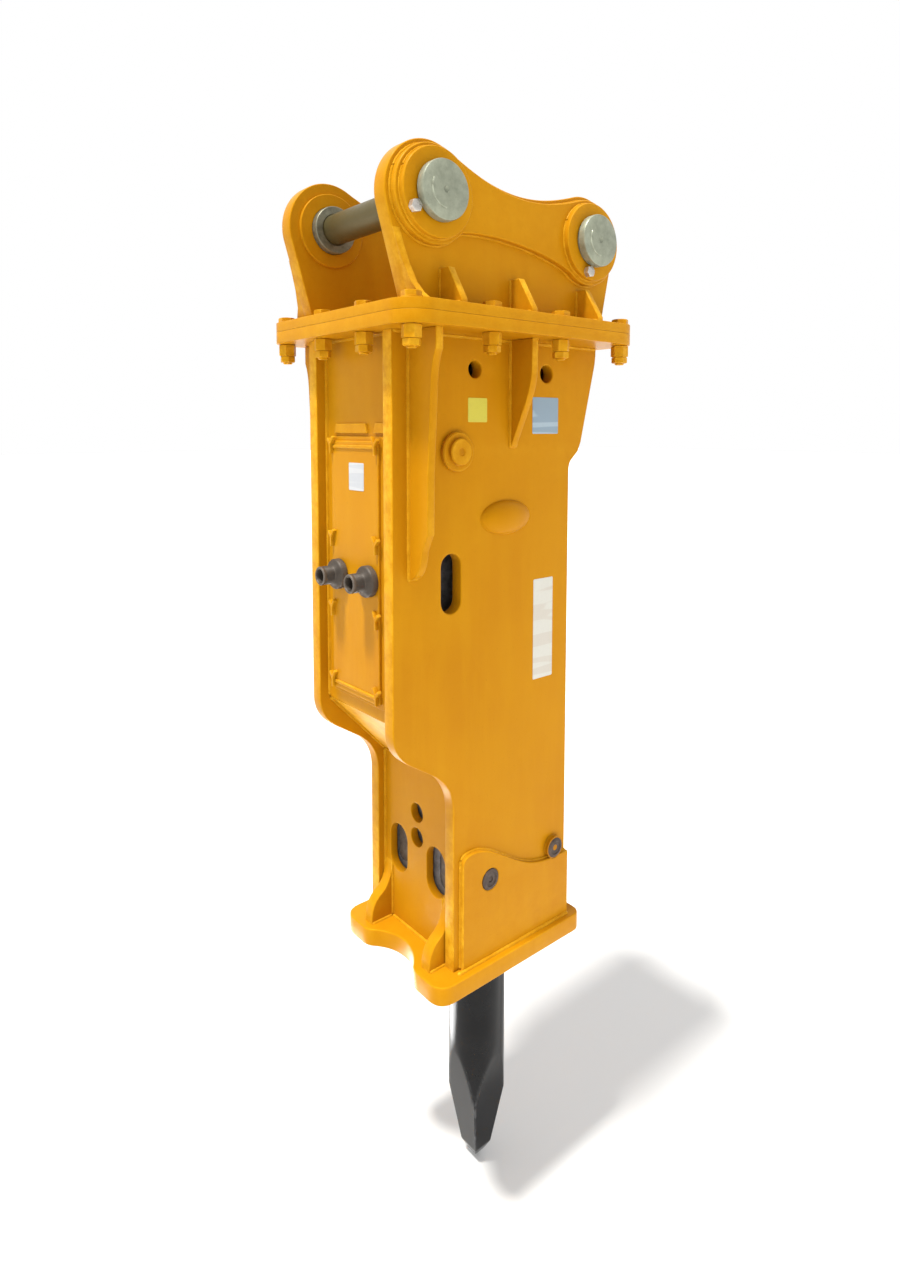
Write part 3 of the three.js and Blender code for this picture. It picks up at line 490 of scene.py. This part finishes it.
# solids that stay as they are, inside the housing or seen through its openings, get materials too
for names, material in (
    (("back_head", "cylinder", "front_head", "control_valve_block", "accumulator"), cell_iron),
    (("piston", "valve_spool", "gas_charging_valve"), bright_steel),
    (("through_bolt_1", "through_bolt_2", "through_bolt_3", "through_bolt_4", "tool_bushing_upper"),
     bush_steel),
    (("rod_pin_near", "rod_pin_far"), fitting_steel),
    (("top_damper",), rubber),
):
    for name in names:
        nodes[name].data.materials.clear()
        nodes[name].data.materials.append(material)


# ---------------------------------------------------------------- flange joint
def flange_outline():
    x0, x1, w, r = FLANGE
    return rounded(x0, x1, -w, w, r, 14)


def bolt_places():
    x0, x1, w, _ = FLANGE
    mid, rx, ry = (x0 + x1) / 2, (x1 - x0) / 2 - BOLT_EDGE, w - BOLT_EDGE
    spots = [(mid + s * rx, side * ry) for side in (-1, 1) for s in (-1, -1 / 3, 1 / 3, 1)]
    return spots + [(mid + end * rx, s * ry) for end in (-1, 1) for s in (-1 / 3, 1 / 3)]


pad_hole = rounded(-62, 62, -62, 62, 4, 3)
flange_holes = [circle(p, BOLT_HOLE_R, 20) for p in bolt_places()]
Piece().plate("Z", [flange_outline(), pad_hole] + flange_holes, 0, FLANGE_TOPS[0], FLANGE_BEVEL).build(
    "flange_lower", paint, YELLOW, "housing_top_flange")
Piece().plate("Z", [flange_outline()] + flange_holes, *FLANGE_TOPS[1:], FLANGE_BEVEL).build(
    "flange_upper", paint, YELLOW, "bracket_base_plate")

rng = random.Random(7)
for index, (x, y) in enumerate(bolt_places()):
    bolt = Piece()
    thread = [(11.0 if k % 2 else 9.9, -41 + k * 1.3) for k in range(12)]
    shank = [(0, -44), (8.6, -44), (10.4, -42)] + thread + [(11, -24), (11, 50), (0, 50)]
    bolt.turned("Z", (x, y), shank, 24)
    bolt.hexagon("Z", (x, y), 19.6, FOOT, 60, rng.uniform(0, 60))
    bolt.turned("Z", (x, y), [(0, 45.9), (20.8, 45.9), (20.8, 48.2), (20, 49), (0, 49)], 32)
    bolt.hexagon("Z", (x, y), 19.6, -26, -0.3, rng.uniform(0, 60))
    bolt.hexagon("Z", (x, y), 17.6, -40, -26.2, rng.uniform(0, 60))
    bolt.build(f"flange_bolt_fine_{index + 1:02d}", paint, YELLOW, f"flange_bolt_{index + 1:02d}")


# ---------------------------------------------------------------- bracket
def on_circle(c, r, a):
    return (c[0] + r * math.cos(math.radians(a)), c[1] + r * math.sin(math.radians(a)))


def tangent(c, r, x, z, sign):
    dx, dz = x - c[0], z - c[1]
    return math.degrees(math.atan2(dz, dx) + sign * math.acos(r / math.hypot(dx, dz)))


def saddle(r, drop):
    return bezier(on_circle(STICK, r, 65), (STICK[0] + 194 - drop / 3, STICK[1] + 24 - drop),
                  (LINK[0] - 151 + drop / 3, LINK[1] + 60 - drop), on_circle(LINK, r, 108))


def ear_outline():
    front = tangent(STICK, EAR_R, EAR_FOOT[0], FOOT, -1)
    rear = tangent(LINK, EAR_R, EAR_FOOT[1], FOOT, 1)
    return ([(EAR_FOOT[1], FOOT), (EAR_FOOT[0], FOOT)] + arc(STICK, EAR_R, front, 65 - 360, 48)
            + saddle(EAR_R, 0) + arc(LINK, EAR_R, 108, rear, 36))


def cheek_outline():
    start = on_circle(LINK, CHEEK_R, 232 - 360)
    end = on_circle(STICK, CHEEK_R, -42)
    return ([on_circle(STICK, CHEEK_R, 65)] + saddle(CHEEK_R, 11) + arc(LINK, CHEEK_R, 108, 232 - 360, 44)
            + bezier(start, (LINK[0] - 125, LINK[1] - 40), (STICK[0] + 153, STICK[1] - 47), end)
            + arc(STICK, CHEEK_R, -42, 65 - 360, 44))


def lock_hole(pin, angle):
    return circle(on_circle(pin, LOCK_REACH, angle), LOCK_HOLE_R, 16)


def front_gusset_rings(side):
    """Sections of the gusset on the ear's sloping front edge, from the ear outwards."""
    reach, top, lean, thick = (FRONT_GUSSET[k] for k in ("reach", "top", "lean", "thick"))
    sections = ((190, FOOT, top), (196, FOOT, top), (198, FOOT, 150), (202, FOOT, 118), (212, FOOT, 82),
                (226, FOOT, 62), (reach - 2, FOOT, 54), (reach, FOOT + 1, 52))
    rings = []
    for y, low, high in sections:
        x0, x1 = (EAR_FOOT[0] - lean * (z - FOOT) for z in (low, high))
        rings.append([(x0, side * y, low), (x0 + thick, side * y, low),
                      (x1 + thick, side * y, high), (x1, side * y, high)])
    return rings


LOCKS = {"stick": (STICK, 211), "link": (LINK, 254)}      # pin, angle of its lock bolt
for word, side in SIDES:
    holes = [circle(pin, BUSH_HOLE_R, 64) for pin in (STICK, LINK)]
    if side < 0:
        holes += [lock_hole(pin, a) for pin, a in LOCKS.values()]
    ear = Piece().plate("Y", [ear_outline()] + holes, side * EAR[0], side * EAR[1], 2.4)
    for x in GUSSET_X:
        outline = [(190, FOOT), (260, FOOT), (260, 54), (221, 118), (190, 118)]
        ear.plate("X", [[(side * y, z) for y, z in outline]], x - GUSSET_HALF, x + GUSSET_HALF, 1.6)
        for dx in (-GUSSET_HALF, GUSSET_HALF):
            ear.bead([(x + dx, side * 198, FOOT + 1), (x + dx, side * 258, FOOT + 1)], 3.6, x + dx)
            ear.bead([(x + dx, side * 195.5, FOOT + 2), (x + dx, side * 195.5, 117)], 3.2, x + dx)
    ear.loft(front_gusset_rings(side))
    for pin in (STICK, LINK):
        locks = [lock_hole(pin, a) for p, a in LOCKS.values() if p == pin and side < 0]
        ear.plate("Y", [circle(pin, INNER_BOSS[0], 72), circle(pin, BUSH_HOLE_R, 64)] + locks,
                  side * INNER_BOSS[1], side * (EAR[0] + 3), 1.6)
    for y in (EAR[0] - 0.5, EAR[1] + 0.5):
        ear.bead([(x, side * y, FOOT + 1.5) for x in (EAR_FOOT[0] + 3, EAR_FOOT[1] - 3)], 5.2, y)
    ear.build(f"bracket_ear_fine_{word}", paint, YELLOW, f"bracket_ear_{word}")

    cheek = Piece().plate("Y", [cheek_outline()] + holes, side * (EAR[1] + GAP), side * CHEEK_OUTER, 2.4)
    for pin, (_, lock) in zip((STICK, LINK), LOCKS.values()):
        ring = [circle(pin, OUTER_BOSS_R, 72), circle(pin, BUSH_HOLE_R, 64)]
        if side < 0:
            ring.append(lock_hole(pin, lock))
        cheek.plate("Y", ring, side * (CHEEK_OUTER - 5), side * BOSS_OUTER, 2.0)
        round_boss = arc(pin, OUTER_BOSS_R, 0, 360, 90)
        cheek.bead([(x, side * (CHEEK_OUTER + 0.3), z) for x, z in round_boss], 2.6, pin[0])
    rim = tidy(inset(cheek_outline()[::-1], -0.4))
    cheek.bead([(x, side * (EAR[1] + 0.8), z) for x, z in rim + rim[:1]], 2.8, side)
    cheek.build(f"bracket_cheek_fine_{word}", paint, YELLOW, f"bracket_cheek_{word}")

    for pin_word, pin in (("stick", STICK), ("link", LINK)):
        a, b = side * 138, side * BOSS_OUTER
        s = side * 1.5
        Piece().turned("Y", pin, [(34.6, a), (49.5, a), (51, a + s), (51, b - s), (49.5, b), (34.6, b),
                                  (33.1, b - s), (33.1, a + s)], 72, wrap=True).build(
            f"bush_{pin_word}_{word}", bush_steel, BARE, f"{pin_word}_bush_{word}",
            pivot=(pin[0], 0, pin[1]))

for word, (pin, angle) in LOCKS.items():
    top = -(BOSS_OUTER + GAP)
    face = top - 22
    head = Piece()
    head.turned("Y", pin, [(0, 241), (30.5, 241), (32.5, 239), (32.5, top), (50, top), (50, top - 3.6),
                           (54.6, top - 3.6), (56, top - 5), (56, face + 3.4), (55, face + 1.2), (52.8, face),
                           (6.5, face), (5.2, face + 1.4), (0, face + 3)], 96)
    head.loft([[(pin[0] + r * math.cos(a), y, pin[1] + r * math.sin(a)) for r, y in
                ((32, face - 0.9), (34.6, face - 0.9), (35.4, face + 1), (31.2, face + 1))]
               for a in (math.radians(150 + 5 * k) for k in range(25))])
    head.build(f"{word}_pin_fine", pin_steel, PLATED, f"{word}_pin", pivot=(pin[0], 0, pin[1]))
    x, z = on_circle(pin, LOCK_REACH, angle)
    lock = Piece()
    lock.turned("Y", (x, z), [(0, top - 6), (8, top - 6), (8, -141.4), (6.6, -140.2), (0, -140.2)], 24)
    lock.hexagon("Y", (x, z), 12.4, top - 12, top, 12)
    lock.hexagon("Y", (x, z), 12.4, -152.7, -143, 40)
    lock.build(f"{word}_lock_bolt_fine", bright_steel, PLATED, f"{word}_pin_lock_bolt")


# ---------------------------------------------------------------- housing
def side_outline():
    p = [(-366, -GAP), (-366, -800)]
    p += quad((-366, -800), (-366, -848), (-320, -877)) + [(-262, -914)]
    p += quad((-262, -914), (-208, -950), (-208, -1012))
    p += [(-208, BOTTOM_TOP + GAP), (146, BOTTOM_TOP + GAP), (146, -292)]
    p += quad((146, -292), (146, -272), (156, -263)) + [(178, -244), (188, -222), (233, -46)]
    return p + quad((233, -46), (238, -26), (238, -GAP))


def front_rib():
    p = [(151, -GAP), (244, -GAP), (244, -40)] + quad((244, -40), (232, -60), (229, -100))
    p += [(218, -275), (217, -396)] + quad((217, -396), (206, -414), (199, -432))
    return p + quad((199, -432), (194, -478), (170, -488)) + [(151, -496)]


def middle_rib():
    p = [(151, -GAP), (223, -GAP), (222, -72)] + quad((222, -72), (218, -104), (203, -138))
    return p + [(164, -222)] + quad((164, -222), (160, -234), (151, -236))


RIB_THICK = 18
RIBS = ((-326, front_rib(), -494), (-48, middle_rib(), -232))
HOOD = (-60, -384, 74, 38, 20)         # x, z, half length, half height, depth


def hood_rings(side):
    x, z, long, high, deep = HOOD
    steps, root = 32, 2                # root: how far it starts inside the plate
    rings = []
    for i in range(1, steps):
        a = math.pi * (i / steps - 0.5)
        ring = []
        for k in range(steps + 1):
            b = math.pi * k / steps
            y = HALF_WIDE - root + (deep + root) * math.sin(b) * math.cos(a)
            ring.append((x + long * math.cos(b) * math.cos(a), side * y, z + high * math.sin(a)))
        rings.append(ring)
    return rings


for word, side in SIDES:
    holes = [circle((-150, -67), 18, 32), circle((67, -67), 20, 32), circle(DAMPER, DAMPER_HOLE_R, 32),
             stadium(-215, -513.5, 54, 127)]
    holes += [circle((x, ROD_PIN_Z), STOP_PIN_HOLE_R, 40) for x in STOP_PIN_X]
    plate = Piece().plate("Y", [side_outline()] + holes, side * PLATE_INNER, side * HALF_WIDE, 2.6)
    weld_y = side * (HALF_WIDE + 0.4)
    for x, shape, end in RIBS:
        plate.plate("X", [[(side * y, z) for y, z in shape]], x, x + RIB_THICK, 2.0)
        for edge in (x, x + RIB_THICK):
            plate.bead([(edge, weld_y, -3), (edge, weld_y, end)], 4.2, edge)
    plate.loft(hood_rings(side))
    plate.bead([(x, weld_y, -1.5) for x in (-362, 234)], 4.6, side)
    plate.build(f"side_plate_fine_{word}", paint, YELLOW, f"housing_side_plate_{word}")

W = PLATE_INNER - GAP
HIGH, LOW = STEP_PLATE_Z


def wall(bottom, top):
    return [(-W, bottom), (W, bottom), (W, top), (-W, top)]


front = Piece().plate("X", [wall(HIGH, -GAP), rounded(-80, 80, -600, -400, 10, 4)], *FRONT_WALL, 1.5)
x = FRONT_WALL[0] - 0.2
for s in (-1, 1):
    front.bead([(x, s * (W - 0.6), -4), (x, s * (W - 0.6), HIGH + 4)], 4.4, s)
front.bead([(x, -W + 5, -1.5), (x, W - 5, -1.5)], 4.2, 3)
front.build("front_wall_fine", paint, YELLOW, "housing_front_wall")

step = Piece().plate("Y", [[(FRONT_WALL[0], HIGH - GAP), (LOW_WALL[0], LOW), (LOW_WALL[1], LOW),
                            (FRONT_WALL[1], HIGH - GAP)]], -W, W, 1.2)
for s in (-1, 1):
    y = s * (W - 0.6)
    step.bead([(FRONT_WALL[0] + 1, y, HIGH - 2), (LOW_WALL[0] - 1, y, LOW + 1)], 4.2, s + 5)
step.build("step_plate_fine", paint, YELLOW, "housing_step_plate")

low = Piece().plate("X", [wall(BOTTOM_TOP + GAP, LOW - GAP)]
                    + [stadium(y, ROD_PIN_Z, 66, 116) for y in (-70, 70)]
                    + [circle((0, z), 22, 36) for z in (-1077, -1136)], *LOW_WALL, 1.8)
x = LOW_WALL[0] - 0.2
for s in (-1, 1):
    low.bead([(x, s * (W - 0.6), LOW - 3), (x, s * (W - 0.6), BOTTOM_TOP + 4)], 4.2, s + 8)
low.bead([(x, -W + 4, LOW - 1), (x, W - 4, LOW - 1)], 3.6, 11)
low.build("lower_front_wall_fine", paint, YELLOW, "housing_lower_front_wall")

rear = Piece().plate("X", [wall(BOTTOM_TOP + GAP, -GAP)], *REAR_WALL, 1.5)
x = REAR_WALL[1] + 0.2
for s in (-1, 1):
    rear.bead([(x, s * (W - 0.6), -4), (x, s * (W - 0.6), BOTTOM_TOP + 4)], 4.4, s + 14)
rear.build("rear_wall_fine", paint, YELLOW, "housing_rear_wall")


def bottom_outline():
    w = 186
    p = [(-228, -w)] + arc((153, -161), 25, -90, 0, 8) + arc((153, 161), 25, 0, 90, 8) + [(-228, w)]
    p += quad((-228, w), (-270, w), (-270, w - 42)) + [(-270, 108)]
    p += quad((-270, 108), (-270, 88), (-257, 76)) + quad((-257, 76), (-225, 42), (-225, 0))
    p += quad((-225, 0), (-225, -42), (-257, -76)) + quad((-257, -76), (-270, -88), (-270, -108))
    return p + [(-270, 42 - w)] + quad((-270, 42 - w), (-270, -w), (-228, -w))


fin = ([(-188.3, BOTTOM_TOP - 5), (-188.3, -1235)] + quad((-188.3, -1235), (-196, -1290), (-220, -1304))
       + quad((-220, -1304), (-250, -1322), (-250, -1362)) + [(-250, BOTTOM_TOP - 5)])
foot = Piece().plate("Z", [bottom_outline(), circle((0, 0), TOOL_HOLE_R, 72)], *BOTTOM_PLATE, 3.2, 4)
for _, side in SIDES:
    foot.plate("Y", [fin], side * 96, side * 124, 2.4)
    for y in (96, 124):
        foot.bead([(-248, side * y, BOTTOM_TOP + 0.5), (-191, side * y, BOTTOM_TOP + 0.5)], 3.8, y)
        foot.bead([(-188.6, side * y, BOTTOM_TOP + 2), (-188.6, side * y, -1238)], 3.4, y)
    foot.bead([(x, side * (DOUBLER_OUTER + 0.5), BOTTOM_TOP + 0.5) for x in (-206, 146)], 4.6, side + 20)
foot.bead([(-188.8, -93, BOTTOM_TOP + 0.5), (-188.8, 93, BOTTOM_TOP + 0.5)], 4.2, 31)
foot.bead([(146.5, -150, BOTTOM_TOP + 0.5), (146.5, 150, BOTTOM_TOP + 0.5)], 4.4, 32)
foot.build("bottom_plate_fine", paint, YELLOW, "housing_bottom_plate")

wave = [(146, -1214), (80, -1211)] + bezier((80, -1211), (-25, -1206), (-85, -1116), (-158, -1113))
wave += quad((-158, -1113), (-190, -1112), (-190, -1134), 10)
doubler_outline = [(146, BOTTOM_TOP + GAP)] + wave + [(-190, BOTTOM_TOP + GAP)]
DAMPER_CAP = ((39, 0), (41, 1.6), (41, 8.6), (38.6, 11), (29.4, 11), (28, 12), (28, 17.6), (25.6, 20),
              (9, 20), (7.6, 18.6), (0, 18.6))       # radius, distance from the side plate
for word, side in SIDES:
    holes = [circle((x, ROD_PIN_Z), STOP_PIN_HOLE_R, 40) for x in STOP_PIN_X]
    face = side * (HALF_WIDE + GAP)
    doubler = Piece().plate("Y", [doubler_outline] + holes, face, side * DOUBLER_OUTER, 2.4)
    y = side * (HALF_WIDE + 0.8)
    doubler.bead([(x, y, z) for x, z in wave], 3.6, side)
    doubler.bead([(-190, y, -1134), (-190, y, -1368)], 3.6, side)
    doubler.build(f"doubler_fine_{word}", paint, YELLOW, f"lower_doubler_{word}")

    plug = [(0, side * 107), (23, side * 107), (24, side * 108), (24, face)]
    Piece().turned("Y", DAMPER, plug + [(r, face + t * side) for r, t in DAMPER_CAP], 72).build(
        f"side_damper_fine_{word}", paint, YELLOW, f"side_damper_{word}")


# ---------------------------------------------------------------- hose side
def cover_loops(d):
    return [rounded(-98 + d, 98 - d, -772 + d, -207 - d, 7, 5)] + [circle((s * PORT_Y, PORT_Z), 21, 36)
                                                                   for s in (-1, 1)]


cover = Piece().plate("X", cover_loops(0), -345.5, -340.3, 1.0)
cover.plate("X", cover_loops(9), -352, -343, 2.2)
CLIP_SHAPE = ((-13, 13), (-8, 16), (0, 4), (9, 12), (12, 7), (3, -4), (3, -22), (-3, -22), (-3, -2))
for y, z in CLIPS:
    out = 1 if y > 0 else -1
    cover.plate("X", [[(y + out * dy, z + dz) for dy, dz in CLIP_SHAPE]], -360, -350.5, 1.4)
for z in (-232, -752):
    cover.plate("X", [[(-80, z), (80, z), (80, z + 7), (-80, z + 7)]], -355, -350, 1.6)
cover.build("port_cover_fine", paint, YELLOW, "port_cover")

label = Piece().plate("X", [rounded(-38, 18, -320, -262, 3, 3)], -352.7, -351.6, 0.3, 1)
label.plate("X", [rounded(-30, 10, -284, -270, 2, 2)], -353, -352.4, 0.2, 1)
label.build("label_blank_cover", label_white, YELLOW)
lip = Piece().plate("X", [[(-39, -200), (86, -200), (80, -180), (-33, -180)]], -346, -339, 1.6)
lip.plate("X", [[(-104, -200), (-64, -200), (-70, -180), (-104, -180)]], -346, -339, 1.6)
lip.build("cover_lip", paint, YELLOW)
LABELS = (("serial", (22, 106, -202, -120), label_blue), ("strip", (30, 94, -768, -534), label_pale),
          ("spot", (-170, -116, -177, -126), label_yellow))      # x and z limits
for word, box, stock in LABELS:
    for side_word, side in SIDES:
        y = side * HALF_WIDE
        Piece().plate("Y", [rounded(*box, 3, 3)], y - side * 0.4, y + side * 0.6, 0.3, 1).build(
            f"label_blank_{word}_{side_word}", stock, YELLOW)

for word, side in (("pressure", -1), ("return", 1)):
    y = side * PORT_Y
    tube = [(14, -370), (14, -401.5), (15.6, -404), (18.6, -404), (20, -402.4), (20, -397)]
    for k in range(8):
        tube += [(18.9, -396.2 + k * 2.6), (20, -394.9 + k * 2.6)]
    tube += [(20, -377), (21.4, -375), (29, -369.5), (31.6, -367.3), (33, -365.2), (33, -354), (31.4, -352.3),
             (17, -352.3), (17, -216), (0, -216), (0, -370)]
    Piece().turned("X", (y, PORT_Z), tube, 64).build(
        f"hose_fitting_fine_{word}", fitting_steel, BARE, f"hose_fitting_{word}", pivot=(0, y, PORT_Z))

# ---------------------------------------------------------------- tool end
lower_bush = Piece().turned("Z", (0, 0), [(71, -1401), (73, -1403), (90, -1403), (92, -1401), (92, -1245),
                                          (71, -1245)], 96, wrap=True)
lower_bush.build("tool_bushing_fine", bush_steel, BARE, "tool_bushing_lower")

for word, x in zip(("front", "rear"), STOP_PIN_X):
    pin = Piece()
    for _, s in SIDES:
        root, end = (s * face for face in STOP_PIN_FACES)
        pin.turned("Y", (x, ROD_PIN_Z), [(0, root), (23.5, root), (23.5, end - 3 * s), (21.2, end - s),
                                         (17.5, end), (16, end), (14.5, end - 2.2 * s), (7, end - 2.6 * s),
                                         (5.6, end - 5 * s), (0, end - 5 * s)], 48)
    pin.turned("Y", (x, ROD_PIN_Z), [(0, -120), (12, -120), (12, 120), (0, 120)], 24)
    pin.build(f"stop_pin_fine_{word}", rubber, RUBBER, f"stop_pin_{word}")


CHISEL_R = 70.0
CHISEL_SIDES = 96
NOTCH_HALF = 58                        # flats for the rod pins
NOTCH_TOP, NOTCH_LOW = ROD_PIN_Z + 45.3, ROD_PIN_Z - 120
POINT_START, TIP = -1727, -2039
POINT_TAPER = 0.7                      # part of the half width lost by the tip
POINT_ROUND = 0.12                     # last part of the length, where the tip rounds off
POINT_RINGS = 60


def chisel_ring(z, half=math.inf, r=CHISEL_R, notch=math.inf):
    out = []
    for i in range(CHISEL_SIDES):
        a = 2 * math.pi * (i + 0.5) / CHISEL_SIDES
        c, s = math.cos(a), math.sin(a)
        reach = min(r, half / max(abs(c), abs(s)))
        out.append((reach * c, max(-notch, min(notch, reach * s)), z))
    return out


rings = [chisel_ring(-809, r=62), chisel_ring(-811, r=66.5), chisel_ring(-817), chisel_ring(NOTCH_TOP),
         chisel_ring(NOTCH_TOP, notch=NOTCH_HALF), chisel_ring(NOTCH_LOW, notch=NOTCH_HALF),
         chisel_ring(NOTCH_LOW), chisel_ring(-1460), chisel_ring(-1600), chisel_ring(-1700)]
for i in range(POINT_RINGS):
    t = 1 - (1 - i / (POINT_RINGS - 1)) ** 2
    half = CHISEL_R * (1 - POINT_TAPER * t) * min(1, math.sqrt((1 - t) / POINT_ROUND))
    rings.append(chisel_ring(POINT_START + t * (TIP - POINT_START), max(1.0, half)))
chisel = Piece().loft(rings)
chisel.build("chisel_fine", tool_black, TOOL, "chisel", "chisel", sharp=22)

# ---------------------------------------------------------------- stage, light, camera
floor_mesh = bpy.data.meshes.new("floor")
FLOOR_REACH, FLOOR_DROP = 60.0, 0.002  # metres
floor_z = cad_box[0][2] - FLOOR_DROP
corners = [(sx * FLOOR_REACH, sy * FLOOR_REACH, floor_z) for sx, sy in ((-1, -1), (1, -1), (1, 1), (-1, 1))]
floor_mesh.from_pydata(corners, [], [(0, 1, 2, 3)])
floor = bpy.data.objects.new("floor", floor_mesh)
bpy.context.scene.collection.objects.link(floor)
pale = Nodes("floor_pale")
floor_mesh.materials.append(pale.finish(
    pale.mix(pale.rescale(pale.noise(0.7, 3), 0.3, 0.7, 0, 1), (0.65, 0.65, 0.65), (0.68, 0.68, 0.68)),
    pale.rescale(pale.noise(3, 3), 0.3, 0.7, 0.75, 0.9), Specular_IOR_Level=0.1))

world = bpy.data.worlds.new("studio")
bpy.context.scene.world = world
world.use_nodes = True
world.node_tree.nodes["Background"].inputs["Color"].default_value = (1, 1, 1, 1)
world.node_tree.nodes["Background"].inputs["Strength"].default_value = 1.0


def lamp(name, kind, energy, colour=(1, 1, 1), **values):
    data = bpy.data.lights.new(name, kind)
    data.energy, data.color = energy, colour
    for key, value in values.items():
        setattr(data, key, value)
    thing = bpy.data.objects.new(name, data)
    bpy.context.scene.collection.objects.link(thing)
    return thing


key = lamp("key", "SUN", 5.5, (1.0, 0.98, 0.93), angle=math.radians(7))
key.rotation_euler = Vector((-0.34, -0.02, 0.94)).to_track_quat("Z", "Y").to_euler()
fill = lamp("fill", "AREA", 12, (1.0, 0.97, 0.9), shape="RECTANGLE", size=1.4, size_y=0.7)
fill.location = (0.5, -1.9, -2.0)
fill.rotation_euler = Vector((0.1, -1.0, -0.25)).to_track_quat("Z", "Y").to_euler()
# a pool of light on the floor behind the tool, which the black steel mirrors along its left edge
pool = lamp("pool", "SPOT", 6500, spot_size=math.radians(16), spot_blend=0.5, shadow_soft_size=0.05)
pool.location = (-0.05, 0.72, 0.7)

camera = bpy.data.objects.new("camera", bpy.data.cameras.new("camera"))
bpy.context.scene.collection.objects.link(camera)
camera.location = (-0.951, -1.392, -0.442)
camera.rotation_euler = (math.radians(85.46), 0, math.radians(-39.53))
camera.data.lens = 22.07
camera.data.sensor_width = 36
camera.data.shift_x = 0.0045
camera.data.shift_y = -0.1159
camera.data.clip_start = 0.01
bpy.context.scene.camera = camera
bpy.context.scene.view_settings.view_transform = "Standard"
